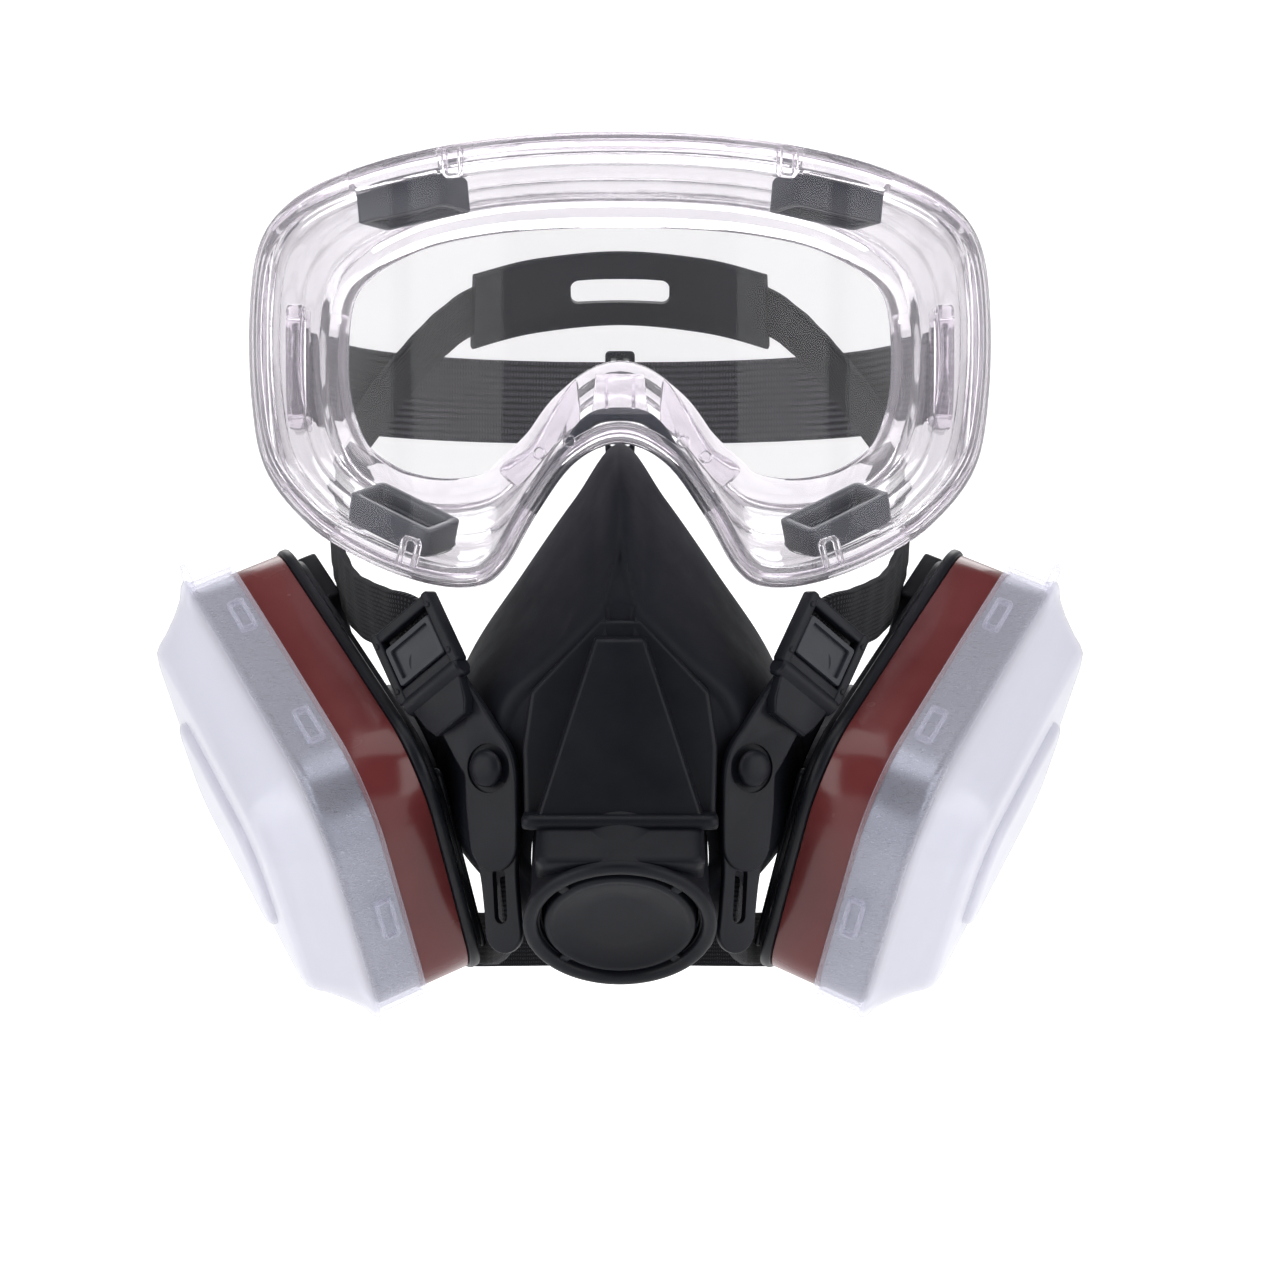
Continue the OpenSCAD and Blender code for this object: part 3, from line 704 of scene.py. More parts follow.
def merged(name: str, *objs: Object) -> Object:
    """One object from several, which are removed."""
    whole_mesh = bmesh.new()
    for obj in objs:
        whole_mesh.from_mesh(obj.data)
    mesh = bpy.data.meshes.new(name)
    whole_mesh.to_mesh(mesh)
    whole_mesh.free()
    for obj in objs:
        bpy.data.objects.remove(obj)
    made = bpy.data.objects.new(name, mesh)
    bpy.context.scene.collection.objects.link(made)
    return made


def painted(node: str, finish: Finish) -> None:
    """Gives a CAD node that stays as it is its finish."""
    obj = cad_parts[node]
    if not obj.data.materials:
        obj.data.materials.append(finish.material())
    for place in obj.material_slots:
        place.material = finish.material()
    LOG.info("%s keeps its CAD shape", node)


def rod(radius: float, low: float, high: float, place: Placement, steps: int = 96) -> Shape:
    """A plain cylinder, used to cut with."""
    angles = np.arange(steps) * 2 * math.pi / steps
    circle = np.column_stack([radius * np.cos(angles), radius * np.sin(angles)])
    return Shape().loft([np.column_stack([circle, np.full(steps, z)]) for z in (low, high)], Edge.FLAT, place)


def drawn_in(ring: Array, distance: float, forward: float = 0.0) -> Array:
    """A ring drawn towards its own middle in the XZ plane, and moved forward."""
    middle = ring.mean(0)
    way = (middle - ring) * np.array([1, 0, 1])
    way /= np.linalg.norm(way, axis=1)[:, None]
    return ring + way * distance + np.array([0, -forward, 0])


def smooth_step(value: Array, low: float, high: float) -> Array:
    """0 below low, 1 above high, and a smooth rise between."""
    t = np.clip((value - low) / (high - low), 0, 1)
    return t * t * (3 - 2 * t)


class Swept(Enum):
    """Which profile a strap has."""

    WEBBING = "webbing"
    MOULDED = "moulded"


def strap(path: Array, width: float, thick: float, hub: Sequence[float], kind: Swept = Swept.WEBBING,
          ripple: float = 0.0) -> tuple[Shape, Array]:
    """A flat band along a path, lying against a body round hub.

    Args:
        path: the band's centre line.
        width: across the band.
        thick: through the band.
        hub: a point inside the body that it lies on.
        kind: webbing has beaded edges, a moulded band plain round ones.
        ripple: height of the waves that slack webbing shows.

    Returns:
        The shape, with UVs in millimetres, and each section's centre, wide, normal and along vectors.
    """
    beads = 0.25 if kind is Swept.WEBBING else 0.0
    flat = rounded_box(width / 2, thick / 2, thick * 0.45, 4)
    swell = 1 + beads * smooth_step(np.abs(flat[:, 0]), width / 2 - 2.2, width / 2 - 1.2)
    flat = np.column_stack([flat[:, 0], flat[:, 1] * swell])
    extra = []
    for i in range(len(flat)):
        a, b = flat[i], flat[(i + 1) % len(flat)]
        cuts = max(int(np.linalg.norm(b - a) / 1.6), 1)
        extra += [a + (b - a) * k / cuts for k in range(cuts)]
    flat = np.array(extra)
    gone = np.concatenate([[0], np.cumsum(np.linalg.norm(np.diff(path, axis=0), axis=1))])
    ahead = np.vstack([path[1:], path[-1:]])
    behind = np.vstack([path[:1], path[:-1]])
    along = ahead - behind
    along /= np.linalg.norm(along, axis=1)[:, None]
    out = path - np.asarray(hub)
    normal = out - (out * along).sum(1)[:, None] * along
    normal /= np.linalg.norm(normal, axis=1)[:, None]
    wide = np.cross(along, normal)
    rings = []
    for i, spot in enumerate(path):
        lift = ripple * math.sin(gone[i] * 0.55) * 0.5
        rings.append(spot + flat[:, :1] * wide[i] * -1 + (flat[:, 1:] + lift) * normal[i])
    made = Shape().loft(rings)
    made.uvs = [np.column_stack([flat[:, 0], np.full(len(flat), gone[i])]) for i in range(len(path))]
    return made, np.stack([path, wide, normal, along], 1)


def with_uvs(obj: Object, rows: Sequence[Array]) -> Object:
    """Stores one UV for each vertex as the piece's UV map."""
    spots = np.vstack(rows)
    layer = obj.data.uv_layers.new(name="UVMap")
    loops = np.zeros(len(obj.data.loops), np.int32)
    obj.data.loops.foreach_get("vertex_index", loops)
    layer.data.foreach_set("uv", spots[loops].astype(np.float32).ravel())
    return obj


class Repeater:
    """Geometry Nodes trees that repeat a small part on points, built once for each kind."""

    def __init__(self, name: str) -> None:
        self.tree = bpy.data.node_groups.new(name, "GeometryNodeTree")
        self.tree.interface.new_socket("Geometry", in_out="INPUT", socket_type="NodeSocketGeometry")
        self.tree.interface.new_socket("Geometry", in_out="OUTPUT", socket_type="NodeSocketGeometry")
        self.inputs: dict[str, str] = {}

    def size(self, name: str, value: float) -> None:
        """Adds a named input in metres."""
        socket = self.tree.interface.new_socket(name, in_out="INPUT", socket_type="NodeSocketFloat")
        socket.default_value = value
        self.inputs[name] = socket.identifier

    def material(self) -> None:
        """Adds the material input."""
        socket = self.tree.interface.new_socket("Material", in_out="INPUT", socket_type="NodeSocketMaterial")
        self.inputs["Material"] = socket.identifier

    def node(self, kind: str) -> bpy.types.Node:
        """Adds a node."""
        return self.tree.nodes.new(kind)

    def link(self, source: object, target: object) -> None:
        """Joins two sockets."""
        self.tree.links.new(source, target)

    def run(self, name: str, points: Array, turned: Array, finish: Finish, **sizes: float) -> Object:
        """Repeats the part on points.

        Args:
            name: the new piece's name.
            points: where, in millimetres.
            turned: a rotation for each point, as XYZ Euler angles.
            finish: the part's finish.
            sizes: named inputs, in millimetres.

        Returns:
            The piece as a plain mesh.
        """
        mesh = bpy.data.meshes.new(name)
        mesh.from_pydata((points * MM).tolist(), [], [])
        spin = mesh.attributes.new("turned", "FLOAT_VECTOR", "POINT")
        spin.data.foreach_set("vector", turned.astype(np.float32).ravel())
        obj = bpy.data.objects.new(name, mesh)
        bpy.context.scene.collection.objects.link(obj)
        tool = obj.modifiers.new("repeat", "NODES")
        tool.node_group = self.tree
        for key, value in sizes.items():
            tool[self.inputs[key.title()]] = value * MM
        tool[self.inputs["Material"]] = finish.material()
        return baked(obj)


def stitcher() -> Repeater:
    """Thread stitches: small spindles lying along X."""
    r = Repeater("stitches")
    r.size("Length", 0.002)
    r.size("Radius", 0.0003)
    r.material()
    start, end = r.node("NodeGroupInput"), r.node("NodeGroupOutput")
    ball = r.node("GeometryNodeMeshUVSphere")
    ball.inputs["Segments"].default_value, ball.inputs["Rings"].default_value = 8, 6
    ball.inputs["Radius"].default_value = 1.0
    half = r.node("ShaderNodeMath")
    half.operation = "MULTIPLY"
    half.inputs[1].default_value = 0.5
    scale = r.node("ShaderNodeCombineXYZ")
    shaped = r.node("GeometryNodeTransform")
    spin = r.node("GeometryNodeInputNamedAttribute")
    spin.data_type = "FLOAT_VECTOR"
    spin.inputs["Name"].default_value = "turned"
    spread = r.node("GeometryNodeInstanceOnPoints")
    real, smooth, dress = (r.node(k) for k in ("GeometryNodeRealizeInstances", "GeometryNodeSetShadeSmooth",
                                               "GeometryNodeSetMaterial"))
    r.link(start.outputs["Length"], half.inputs[0])
    r.link(half.outputs[0], scale.inputs["X"])
    r.link(start.outputs["Radius"], scale.inputs["Y"])
    r.link(start.outputs["Radius"], scale.inputs["Z"])
    r.link(ball.outputs["Mesh"], shaped.inputs["Geometry"])
    r.link(scale.outputs[0], shaped.inputs["Scale"])
    r.link(start.outputs["Geometry"], spread.inputs["Points"])
    r.link(shaped.outputs["Geometry"], spread.inputs["Instance"])
    r.link(spin.outputs["Attribute"], spread.inputs["Rotation"])
    r.link(spread.outputs["Instances"], real.inputs["Geometry"])
    r.link(real.outputs["Geometry"], smooth.inputs["Geometry"])
    r.link(smooth.outputs["Geometry"], dress.inputs["Geometry"])
    r.link(start.outputs["Material"], dress.inputs["Material"])
    r.link(dress.outputs["Geometry"], end.inputs["Geometry"])
    return r


def slatter() -> Repeater:
    """Slats: each is a short line swept by a ten-sided bar."""
    r = Repeater("slats")
    r.size("Length", 0.010)
    r.size("Width", 0.0012)
    r.material()
    start, end = r.node("NodeGroupInput"), r.node("NodeGroupOutput")
    half = r.node("ShaderNodeMath")
    half.operation = "MULTIPLY"
    half.inputs[1].default_value = 0.5
    other = r.node("ShaderNodeMath")
    other.operation = "MULTIPLY"
    other.inputs[1].default_value = -0.5
    tip, tail = r.node("ShaderNodeCombineXYZ"), r.node("ShaderNodeCombineXYZ")
    line = r.node("GeometryNodeCurvePrimitiveLine")
    around = r.node("GeometryNodeCurvePrimitiveCircle")
    around.inputs["Resolution"].default_value = 10
    sweep = r.node("GeometryNodeCurveToMesh")
    sweep.inputs["Fill Caps"].default_value = True
    spin = r.node("GeometryNodeInputNamedAttribute")
    spin.data_type = "FLOAT_VECTOR"
    spin.inputs["Name"].default_value = "turned"
    spread = r.node("GeometryNodeInstanceOnPoints")
    real, dress = r.node("GeometryNodeRealizeInstances"), r.node("GeometryNodeSetMaterial")
    r.link(start.outputs["Length"], half.inputs[0])
    r.link(start.outputs["Length"], other.inputs[0])
    r.link(half.outputs[0], tip.inputs["X"])
    r.link(other.outputs[0], tail.inputs["X"])
    r.link(tail.outputs[0], line.inputs["Start"])
    r.link(tip.outputs[0], line.inputs["End"])
    r.link(start.outputs["Width"], around.inputs["Radius"])
    r.link(line.outputs["Curve"], sweep.inputs["Curve"])
    r.link(around.outputs["Curve"], sweep.inputs["Profile Curve"])
    r.link(start.outputs["Geometry"], spread.inputs["Points"])
    r.link(sweep.outputs["Mesh"], spread.inputs["Instance"])
    r.link(spin.outputs["Attribute"], spread.inputs["Rotation"])
    r.link(spread.outputs["Instances"], real.inputs["Geometry"])
    r.link(real.outputs["Geometry"], dress.inputs["Geometry"])
    r.link(start.outputs["Material"], dress.inputs["Material"])
    r.link(dress.outputs["Geometry"], end.inputs["Geometry"])
    return r


def turns(x_axes: Array, z_axes: Array) -> Array:
    """XYZ Euler angles that carry X and Z onto the given axes."""
    rows = []
    for x, z in zip(x_axes, z_axes):
        x = x / np.linalg.norm(x)
        z = z - x * (z @ x)
        z = z / np.linalg.norm(z)
        y = np.cross(z, x)
        rows.append(list(Matrix(np.column_stack([x, y, z]).tolist()).to_euler("XYZ")))
    return np.array(rows)


# --------------------------------------------------------------- half mask

MASK_RINGS = (
    ((0, -22, 46), (11, -14, 32), (23, -4, 14), (36, 4, -4), (42, 8, -24), (40, 8, -46),
     (30, 3, -64), (17, -8, -76), (0, -14, -82)),
    ((0, -38, 47), (11, -33, 34), (24, -27, 16), (37, -19, -3), (45, -15, -24), (43, -15, -46),
     (29, -21, -64), (15, -30, -76), (0, -34, -80)),
    ((0, -58, 35), (8, -56, 24), (20, -53, 8), (34, -50, -8), (42, -48, -26), (38.5, -48, -46),
     (26, -50, -61), (14, -53, -69), (0, -56, -72)),
    ((0, -74, 13), (6, -74, 8), (16, -73, -2), (27, -70, -13), (31, -68, -28), (29, -68, -45),
     (21, -68, -57), (10, -66, -65), (0, -65, -68)))


@dataclass
class Facepiece:
    """Moulded rubber half mask with its seal lip, nose ridge, port bosses and stud sockets."""

    wall: float = 2.6
    port_hole: float = 18.0
    exhale_hole: float = 20.15
    socket: float = 5.1
    along: int = 10
    around: int = 10
    body: str = "facepiece_body"

    def surface(self) -> list[Array]:
        """The outer skin's rings from the face seal to the rounded front."""
        control = [smooth_curve(whole(r), self.around, True) for r in MASK_RINGS]
        control.append(drawn_in(control[-1], 5, 2.2))
        count = len(control[0])
        flat = smooth_curve(np.array(control).reshape(len(control), -1), self.along, False)
        rings = [row.reshape(count, 3) for row in flat]
        for ring in rings:
            x, z = ring[:, 0], ring[:, 2]
            front = smooth_step(-ring[:, 1], 40, 58)
            ridge = 1.3 * np.exp(-(x / 2.6)**2) * smooth_step(z, 12, 20)
            crease = 1.1 * np.exp(-((np.abs(x) - 5.6) / 1.6)**2) * smooth_step(z, 8, 20)
            dimple = 1.8 * smooth_step(4.2 - np.abs(x) - 0.28 * np.abs(z - 8), 0, 1.2) * smooth_step(z, 3, 6)
            ring[:, 1] -= front * (ridge - 0.6 * crease - dimple)
        return rings

    def build(self) -> None:
        """Makes the facepiece and cuts its openings."""
        outer = self.surface()
        inner = [drawn_in(r, self.wall + 0.8) for r in outer]
        last = inner[-1] + np.array([0, self.wall, 0])
        inner[-1] = last
        lip = [drawn_in(outer[0], 7.5, -2.6), drawn_in(outer[0], 8.2, -1.6), drawn_in(outer[0], 7.6, -0.6)]
        seal = [drawn_in(outer[0], 4.5, -3.2), drawn_in(outer[0], 1.8, -2.6), drawn_in(outer[0], 0.4, -1.2)]
        rings = [drawn_in(last, 22, -0.6), *inner[::-1], *lip[::-1], *seal, *outer,
                 drawn_in(outer[-1], 8, 1.4), drawn_in(outer[-1], 22, 2.0)]
        made = Shape().loft([r[::-1] for r in rings]).build("facepiece_rubber", crease=50)
        for side in Side:
            cut(made, rod(self.port_hole, -30, 12, PORT).build("tool", side))
            cut(made, rod(self.socket, -8, 12, STUD).build("tool", side))
        cut(made, rod(self.exhale_hole, -30, 10, EXHALE).build("tool"), 50)
        bosses = [self.boss(side) for side in Side]
        made = merged("facepiece_rubber", made, *bosses)
        dressed(made, RUBBER, self.body, "mask_rubber", "facepiece")

    def boss(self, side: Side) -> Object:
        """The thick rubber ring that an inhalation port is pushed into."""
        r = self.port_hole
        profile = [(r + 0.02, -16), (r + 2.4, -17), (r + 4, -15.4), (r + 4, -6.4), (r + 3.2, -5.2),
                   (r + 0.02, -5.0)]
        return Shape().revolve(profile, 96, PORT).build("boss", side)


@dataclass
class FrontCover:
    """Hard shield on the front of the facepiece, with a hood over the exhalation port."""

    body: str = "facepiece_body"
    shield: tuple[tuple[float, float], ...] = ((0, 4.6), (4.9, 4.6), (12.5, -3.4), (20.2, -11.6), (21.9, -24),
                                               (21.4, -42))
    ramp: tuple[tuple[float, float], ...] = ((0, 1.0), (5.7, 1.0), (12.8, -20.5), (19.8, -42.2))
    hood: tuple[tuple[float, float], ...] = ((-74, -38), (-87.2, -39.6), (-88.6, -41.6), (-95.6, -46.2),
                                             (-97.0, -48.2), (-95.0, -50.0), (-80, -55))
    ledge: tuple[tuple[float, float], ...] = ((-72, -38.4), (-88.2, -38.4), (-89.2, -39.4), (-89.2, -40.9),
                                              (-88.2, -41.8), (-72, -41.8))
    hood_half: float = 18.5
    ledge_half: float = 21.7

    @staticmethod
    def leaning(outline: Sequence[Sequence[float]], top: float, low: float, shrink: float = 0.0) -> Array:
        """A whole flat outline leaning from Y top at its upper end to Y low at its lower end."""
        half = np.array(outline, float)
        z_top, z_low = half[0, 1], half[-1, 1]
        ring = np.vstack([half, half[:0:-1] * np.array([-1, 1])])
        if shrink:
            middle = np.array([0, (z_top + z_low) / 2])
            share = np.array([shrink / half[:, 0].max(), 2 * shrink / (z_top - z_low)])
            ring = ring + (middle - ring) * share
        y = top + (low - top) * (z_top - ring[:, 1]) / (z_top - z_low)
        return np.column_stack([ring[:, 0], y, ring[:, 1]])[::-1]

    def build(self) -> None:
        """Makes the shield, the raised ramp, the ledge and the hood."""
        plate = Shape().loft([self.leaning(self.shield, -66, -66), self.leaning(self.shield, -76.6, -78.2)])
        plate = baked(softened(plate.build("plate"), 1.3, 4, 30))
        raised = Shape().loft([self.leaning(self.ramp, -72, -72), self.leaning(self.ramp, -78.5, -84, 0.2),
                               self.leaning(self.ramp, -80.2, -87.2, 1.1)])
        raised = baked(softened(raised.build("ramp"), 0.7, 3, 25))
        ledge = self.swept(self.ledge, self.ledge_half, 1.6)
        hood = self.swept(self.hood, self.hood_half, 2.6)
        made = merged("front_shield", plate, raised, ledge, hood)
        made.data.set_sharp_from_angle(angle=math.radians(50))
        made.data.polygons.foreach_set("use_smooth", [True] * len(made.data.polygons))
        dressed(made, COVER, self.body, "cover_plastic", "front_cover")

    @staticmethod
    def swept(profile: Sequence[Sequence[float]], half: float, round_off: float) -> Object:
        """A bar across X from a (Y, Z) profile, with rounded ends.

        Args:
            profile: the section's points, clockwise seen from +X.
            half: half the bar's length.
            round_off: how far the ends are rounded in.
        """
        section = np.array(profile, float)
        rings = []
        for share in np.sin(np.linspace(-math.pi / 2, math.pi / 2, 17)):
            x = share * half
            past = max(abs(x) - (half - round_off), 0) / round_off
            inset_by = round_off * (1 - math.sqrt(max(1 - past**2, 0)))
            middle = section.mean(0)
            way = middle - section
            way /= np.linalg.norm(way, axis=1)[:, None]
            moved = section + way * min(inset_by, 2.4)
            rings.append(np.column_stack([np.full(len(section), x), moved]))
        made = Shape().loft([r[::-1] for r in rings]).build("bar")
        return baked(softened(made, 0.5, 2, 30))


@dataclass
class ExhalationValve:
    """Valve cover with its rim, annular gap, four bridges and dished disc."""

    rim: float = 21.6
    inner: float = 18.3
    disc: float = 16.9
    deep: float = 4.0

    def build(self) -> None:
        """Makes the cover, and finishes the valve behind it."""
        r, i, d = self.rim, self.inner, self.disc
        shell = Shape().revolve([(i, -self.deep), (i, -0.9), (i + 0.5, -0.35), (i + 1.1, 0.0), (r - 1.0, 0.0),
                                 (r - 0.35, -0.3), (r, -0.9), (r, -1.9), (r - 0.5, -2.3), (20.4, -2.3),
                                 (20.4, -1.8), (i + 0.8, -1.8), (i + 0.8, -8.0), (i - 0.8, -8.0),
                                 (i - 0.8, -self.deep)][::-1], 128, EXHALE)
        dish = [(0, -self.deep - 1.4), (d - 0.4, -self.deep - 1.4), (d, -self.deep - 1.0), (d, -1.3),
                (d - 0.3, -0.8), (d - 1.0, -0.6), (d - 1.8, -0.9), (d - 2.6, -1.5), (d * 0.5, -1.9),
                (0, -2.0)]
        shell.revolve([(max(a, 0.02), b) for a, b in dish], 128, EXHALE)
        for k in range(4):
            a = math.radians(45 + 90 * k)
            mid = np.array([math.cos(a), math.sin(a)]) * (i + d) / 2
            out = np.array([math.cos(a), math.sin(a)])
            side = np.array([-out[1], out[0]])
            box = rounded_box(1.5, 1.2, 0.3, 2)
            outline = mid + box[:, :1] * out + box[:, 1:] * side
            shell.slab(outline, -self.deep, -1.0, 0.3, 2, EXHALE)
        made = shell.build("valve_cover", crease=45)
        dressed(made, COVER, "exhalation_cover_body", "cover_plastic", "exhalation_cover")
        collar = Shape().revolve([(17.9, -27), (20.0, -27), (20.0, -5.4), (20.8, -4.9), (20.8, -2.6),
                                  (20.5, -2.35), (20.0, -2.35), (20.0, -2.05), (17.9, -2.05)], 96, EXHALE)
        dressed(collar.build("valve_housing"), COVER, "facepiece_body", "cover_plastic", "exhalation_housing")
        painted("exhalation_seat", COVER)
        painted("exhalation_flap", VALVE)


@dataclass
class InhalationPorts:
    """Bayonet ports, with their gaskets and flaps."""

    def build(self) -> None:
        """Finishes the CAD ports, whose shape is right."""
        for side in Side:
            painted(f"inhalation_port_{side.value}", PORT_FINISH)
            painted(f"inhalation_flap_{side.value}", VALVE)
            painted(f"port_gasket_{side.value}", RUBBER)


# --------------------------------------------------------------- cartridge


@dataclass
class Cartridge:
    """Black bayonet base, silver can with its brown film, cotton prefilter and frosted cap."""

    side: Side
    length: float = 108
    width: float = 76
    taper: float = 5
    corner: float = 17.5
    depth: float = 30
    film: tuple[float, float] = (5.25, 18.2)
    foot: float = 17.4
    pad_depth: float = 6.4
    cap_wall: float = 1.1

    def outline(self, inward: float, bulge: float = 0.0) -> Array:
        """The cartridge's rounded outline, counter-clockwise and wider at its front end."""
        r = max(self.corner - inward * 0.6, 4)
        a = self.length / 2 - inward - r
        w0 = (self.width + self.taper / 2) / 2 - inward - r
        w1 = (self.width - self.taper / 2) / 2 - inward - r
        corners = []
        for k in range(4):
            sx = 1 if k in (0, 3) else -1
            sy = 1 if k < 2 else -1
            t = np.radians(np.linspace(90 * k, 90 * k + 90, 13))
            middle = [sx * a, sy * (w1 if sx > 0 else w0)]
            corners.append(middle + r * np.column_stack([np.cos(t), np.sin(t)]))
        rows = []
        for k, cuts in enumerate((18, 9, 18, 9)):
            p, q = corners[k][-1], corners[(k + 1) % 4][0]
            rows += [*corners[k], *(p + (q - p) * c / cuts for c in range(1, cuts))]
        out = np.array(rows)
        if bulge:
            reach = np.linalg.norm(out, axis=1)[:, None]
            out = out * (1 + bulge * (1 - (reach / reach.max())**2) / reach)
        return out

    def ring(self, inward: float, level: float) -> Array:
        """The outline as a ring at a level above the base."""
        return np.column_stack([self.outline(inward, 1.2), np.full(len(self.outline(inward)), level)])

    def shell(self, steps: Sequence[tuple[float, float]]) -> Shape:
        """A skin through (inset, level) steps."""
        return Shape().loft([self.ring(d, z) for d, z in steps], Edge.FLAT, CARTRIDGE)

    @property
    def body(self) -> str:
        """The body that the cartridge rides on."""
        return f"cartridge_{self.side.value}_body"

    @property
    def cap_body(self) -> str:
        """The body that the cap and prefilter ride on."""
        return f"retainer_cap_{self.side.value}_body"

    def build(self) -> None:
        """Makes every piece of the cartridge."""
        self.base()
        self.can()
        self.wrap()
        self.cap()
        self.pad()
        for node, finish in (("inner_screen", SILVER), ("carbon_bed", CARBON), ("outer_grille", SILVER)):
            painted(f"{node}_{self.side.value}", finish)

    def base(self) -> None:
        """Black base with a two-step lip, a block, a rail and the bayonet bore."""
        name = f"cartridge_base_{self.side.value}"
        made = self.shell([(20, 0), (4.2, 0), (3.2, 0.25), (2.9, 0.8), (2.9, 1.7), (2.4, 2.05), (0.3, 2.1),
                           (-0.35, 2.4), (-0.6, 2.9), (-0.6, 4.2), (-0.35, 4.75), (0.1, 5.0), (20, 5.0)])
        made = made.build("base", self.side, 50)
        cut(made, rod(16.1, -2, 8, PORT).build("tool", self.side))
        ribs = self.ribs()
        made = merged(f"{name}_moulding", made, ribs)
        dressed(made, BASE, self.body, "base_plastic", name)

    def ribs(self) -> Object:
        """Raised block at the base's upper end, and a low rail at its lower end."""
        shape = Shape()
        for y0, y1, x0, x1, low in ((2, 30, 27, 47.5, -4.4), (-30, 30, -49.5, -46, -1.0)):
            box = rounded_box((x1 - x0) / 2, (y1 - y0) / 2, 1.6, 4) + np.array([(x0 + x1) / 2, (y0 + y1) / 2])
            shape.slab(box, low, 0.6, 0.7, 3, CARTRIDGE)
        return shape.build("ribs", self.side)

    def can(self) -> None:
        """Drawn can with a rolled front rim."""
        name = f"cartridge_can_{self.side.value}"
        made = self.shell([(20, 5.1), (1.6, 5.1), (0.8, 5.4), (0.6, 5.9), (0.6, 27.6), (0.7, 28.6),
                           (1.2, 29.4), (2.0, 29.9), (3.0, 30.0), (3.9, 29.7), (4.4, 29.0), (4.5, 28.2),
                           (20, 28.2)])
        made = made.build("can", self.side, 60)
        cut(made, rod(18.4, 3, 8, PORT).build("tool", self.side), 50)
        made.name = f"{name}_shell"
        dressed(made, SILVER, self.body, "can_silver", name)

    def wrap(self) -> None:
        """Plain glossy film round the can, with its overlap."""
        low, high = self.film
        name = f"cartridge_label_{self.side.value}"
        made = Shape().loft([self.ring(0.62, low), self.ring(0.2, low), self.ring(0.15, low + 0.1),
                             self.ring(0.15, high - 0.1), self.ring(0.2, high), self.ring(0.62, high)],
                            Edge.LOOPED, CARTRIDGE)
        outline = self.outline(0.15, 1.2)
        start = int(len(outline) * 0.735)
        flap = [outline[(start + k) % len(outline)] for k in range(5)]
        inner = [p * 0.996 for p in flap]
        outer = [p * 1.0035 for p in flap]
        ends = np.array(outer + inner[::-1])
        rings = [np.column_stack([ends, np.full(len(ends), z)]) for z in (low + 0.15, high - 0.15)]
        made.loft(rings, Edge.FLAT, CARTRIDGE)
        dressed(made.build(f"{name}_film", self.side, 40), BROWN, self.body, "label_brown", name)

    def cap(self) -> None:
        """Frosted cap with its skirt, ridge, stepped face, clip windows, boss and tab."""
        name = f"retainer_cap_{self.side.value}"
        f, w = self.foot, self.cap_wall
        outside = [(-1.5, f), (-1.5, f + 0.6), (-1.45, 28.6), (-2.1, 29.4), (-2.2, 30.2), (-1.5, 31.0),
                   (-0.2, 31.7), (1.2, 32.6), (4.0, 35.4), (7.2, 39.4), (8.6, 41.6), (10.0, 43.0),
                   (11.8, 43.5), (20, 43.6)]
        inside = [(20, 43.6 - w), (12.2, 43.5 - w), (10.6, 42.9 - w), (9.4, 41.2), (8.0, 39.0), (4.9, 35.0),
                  (2.0, 32.3), (0.6, 31.1), (-0.6, 30.3), (-0.9, 29.6), (-0.4, 28.6), (-0.42, f)]
        made = self.shell(inside + outside)
        made = made.build("cap", self.side, 60)
        middle = np.array([-2.0, -1.0])
        pieces = [made, self.boss(middle), self.tab(), self.windows()]
        made = merged(f"{name}_frosted", *pieces)
        self.milked(made)
        dressed(made, FROST, self.cap_body, "cap_white", name)

    def milked(self, obj: Object) -> None:
        """Stores how milky the cap is: clear on the skirt, milky on the raised face."""
        spots = np.zeros(len(obj.data.vertices) * 3)
        obj.data.vertices.foreach_get("co", spots)
        spots = spots.reshape(-1, 3) / MM * np.array([-1 if self.side is Side.RIGHT else 1, 1, 1])
        level = ((spots - np.array(CARTRIDGE.origin)) @ CARTRIDGE.turned)[:, 2]
        milk = obj.data.attributes.new("milk", "FLOAT", "POINT")
        milk.data.foreach_set("value", smooth_step(level, 28.6, 33.0).astype(np.float32))

    def boss(self, middle: Array) -> Object:
        """The low rounded boss on the cap's face."""
        shape = Shape()
        flat = (rounded_box(30, 16, 11, 8) + middle)[::-1]
        levels = [(0, 43.3), (0.1, 44.4), (0.5, 45.2), (1.3, 45.7), (2.6, 45.9), (5.0, 45.9)]
        shape.loft([np.column_stack([inset(flat, d)[::-1], np.full(len(flat), z)]) for d, z in levels],
                   Edge.FLAT, CARTRIDGE)
        return shape.build("boss", self.side)

    def tab(self) -> Object:
        """The finger tab at the cap's upper corner."""
        outline = rounded_box(4.5, 6.5, 3.2, 6)
        spin = turn("Z", 40)[:2, :2]
        outline = outline @ spin.T + np.array([self.length / 2 - 3.0, self.width / 2 - 5.5])
        shape = Shape().slab(outline, 27.8, 29.2, 0.5, 3, CARTRIDGE)
        return shape.build("tab", self.side)

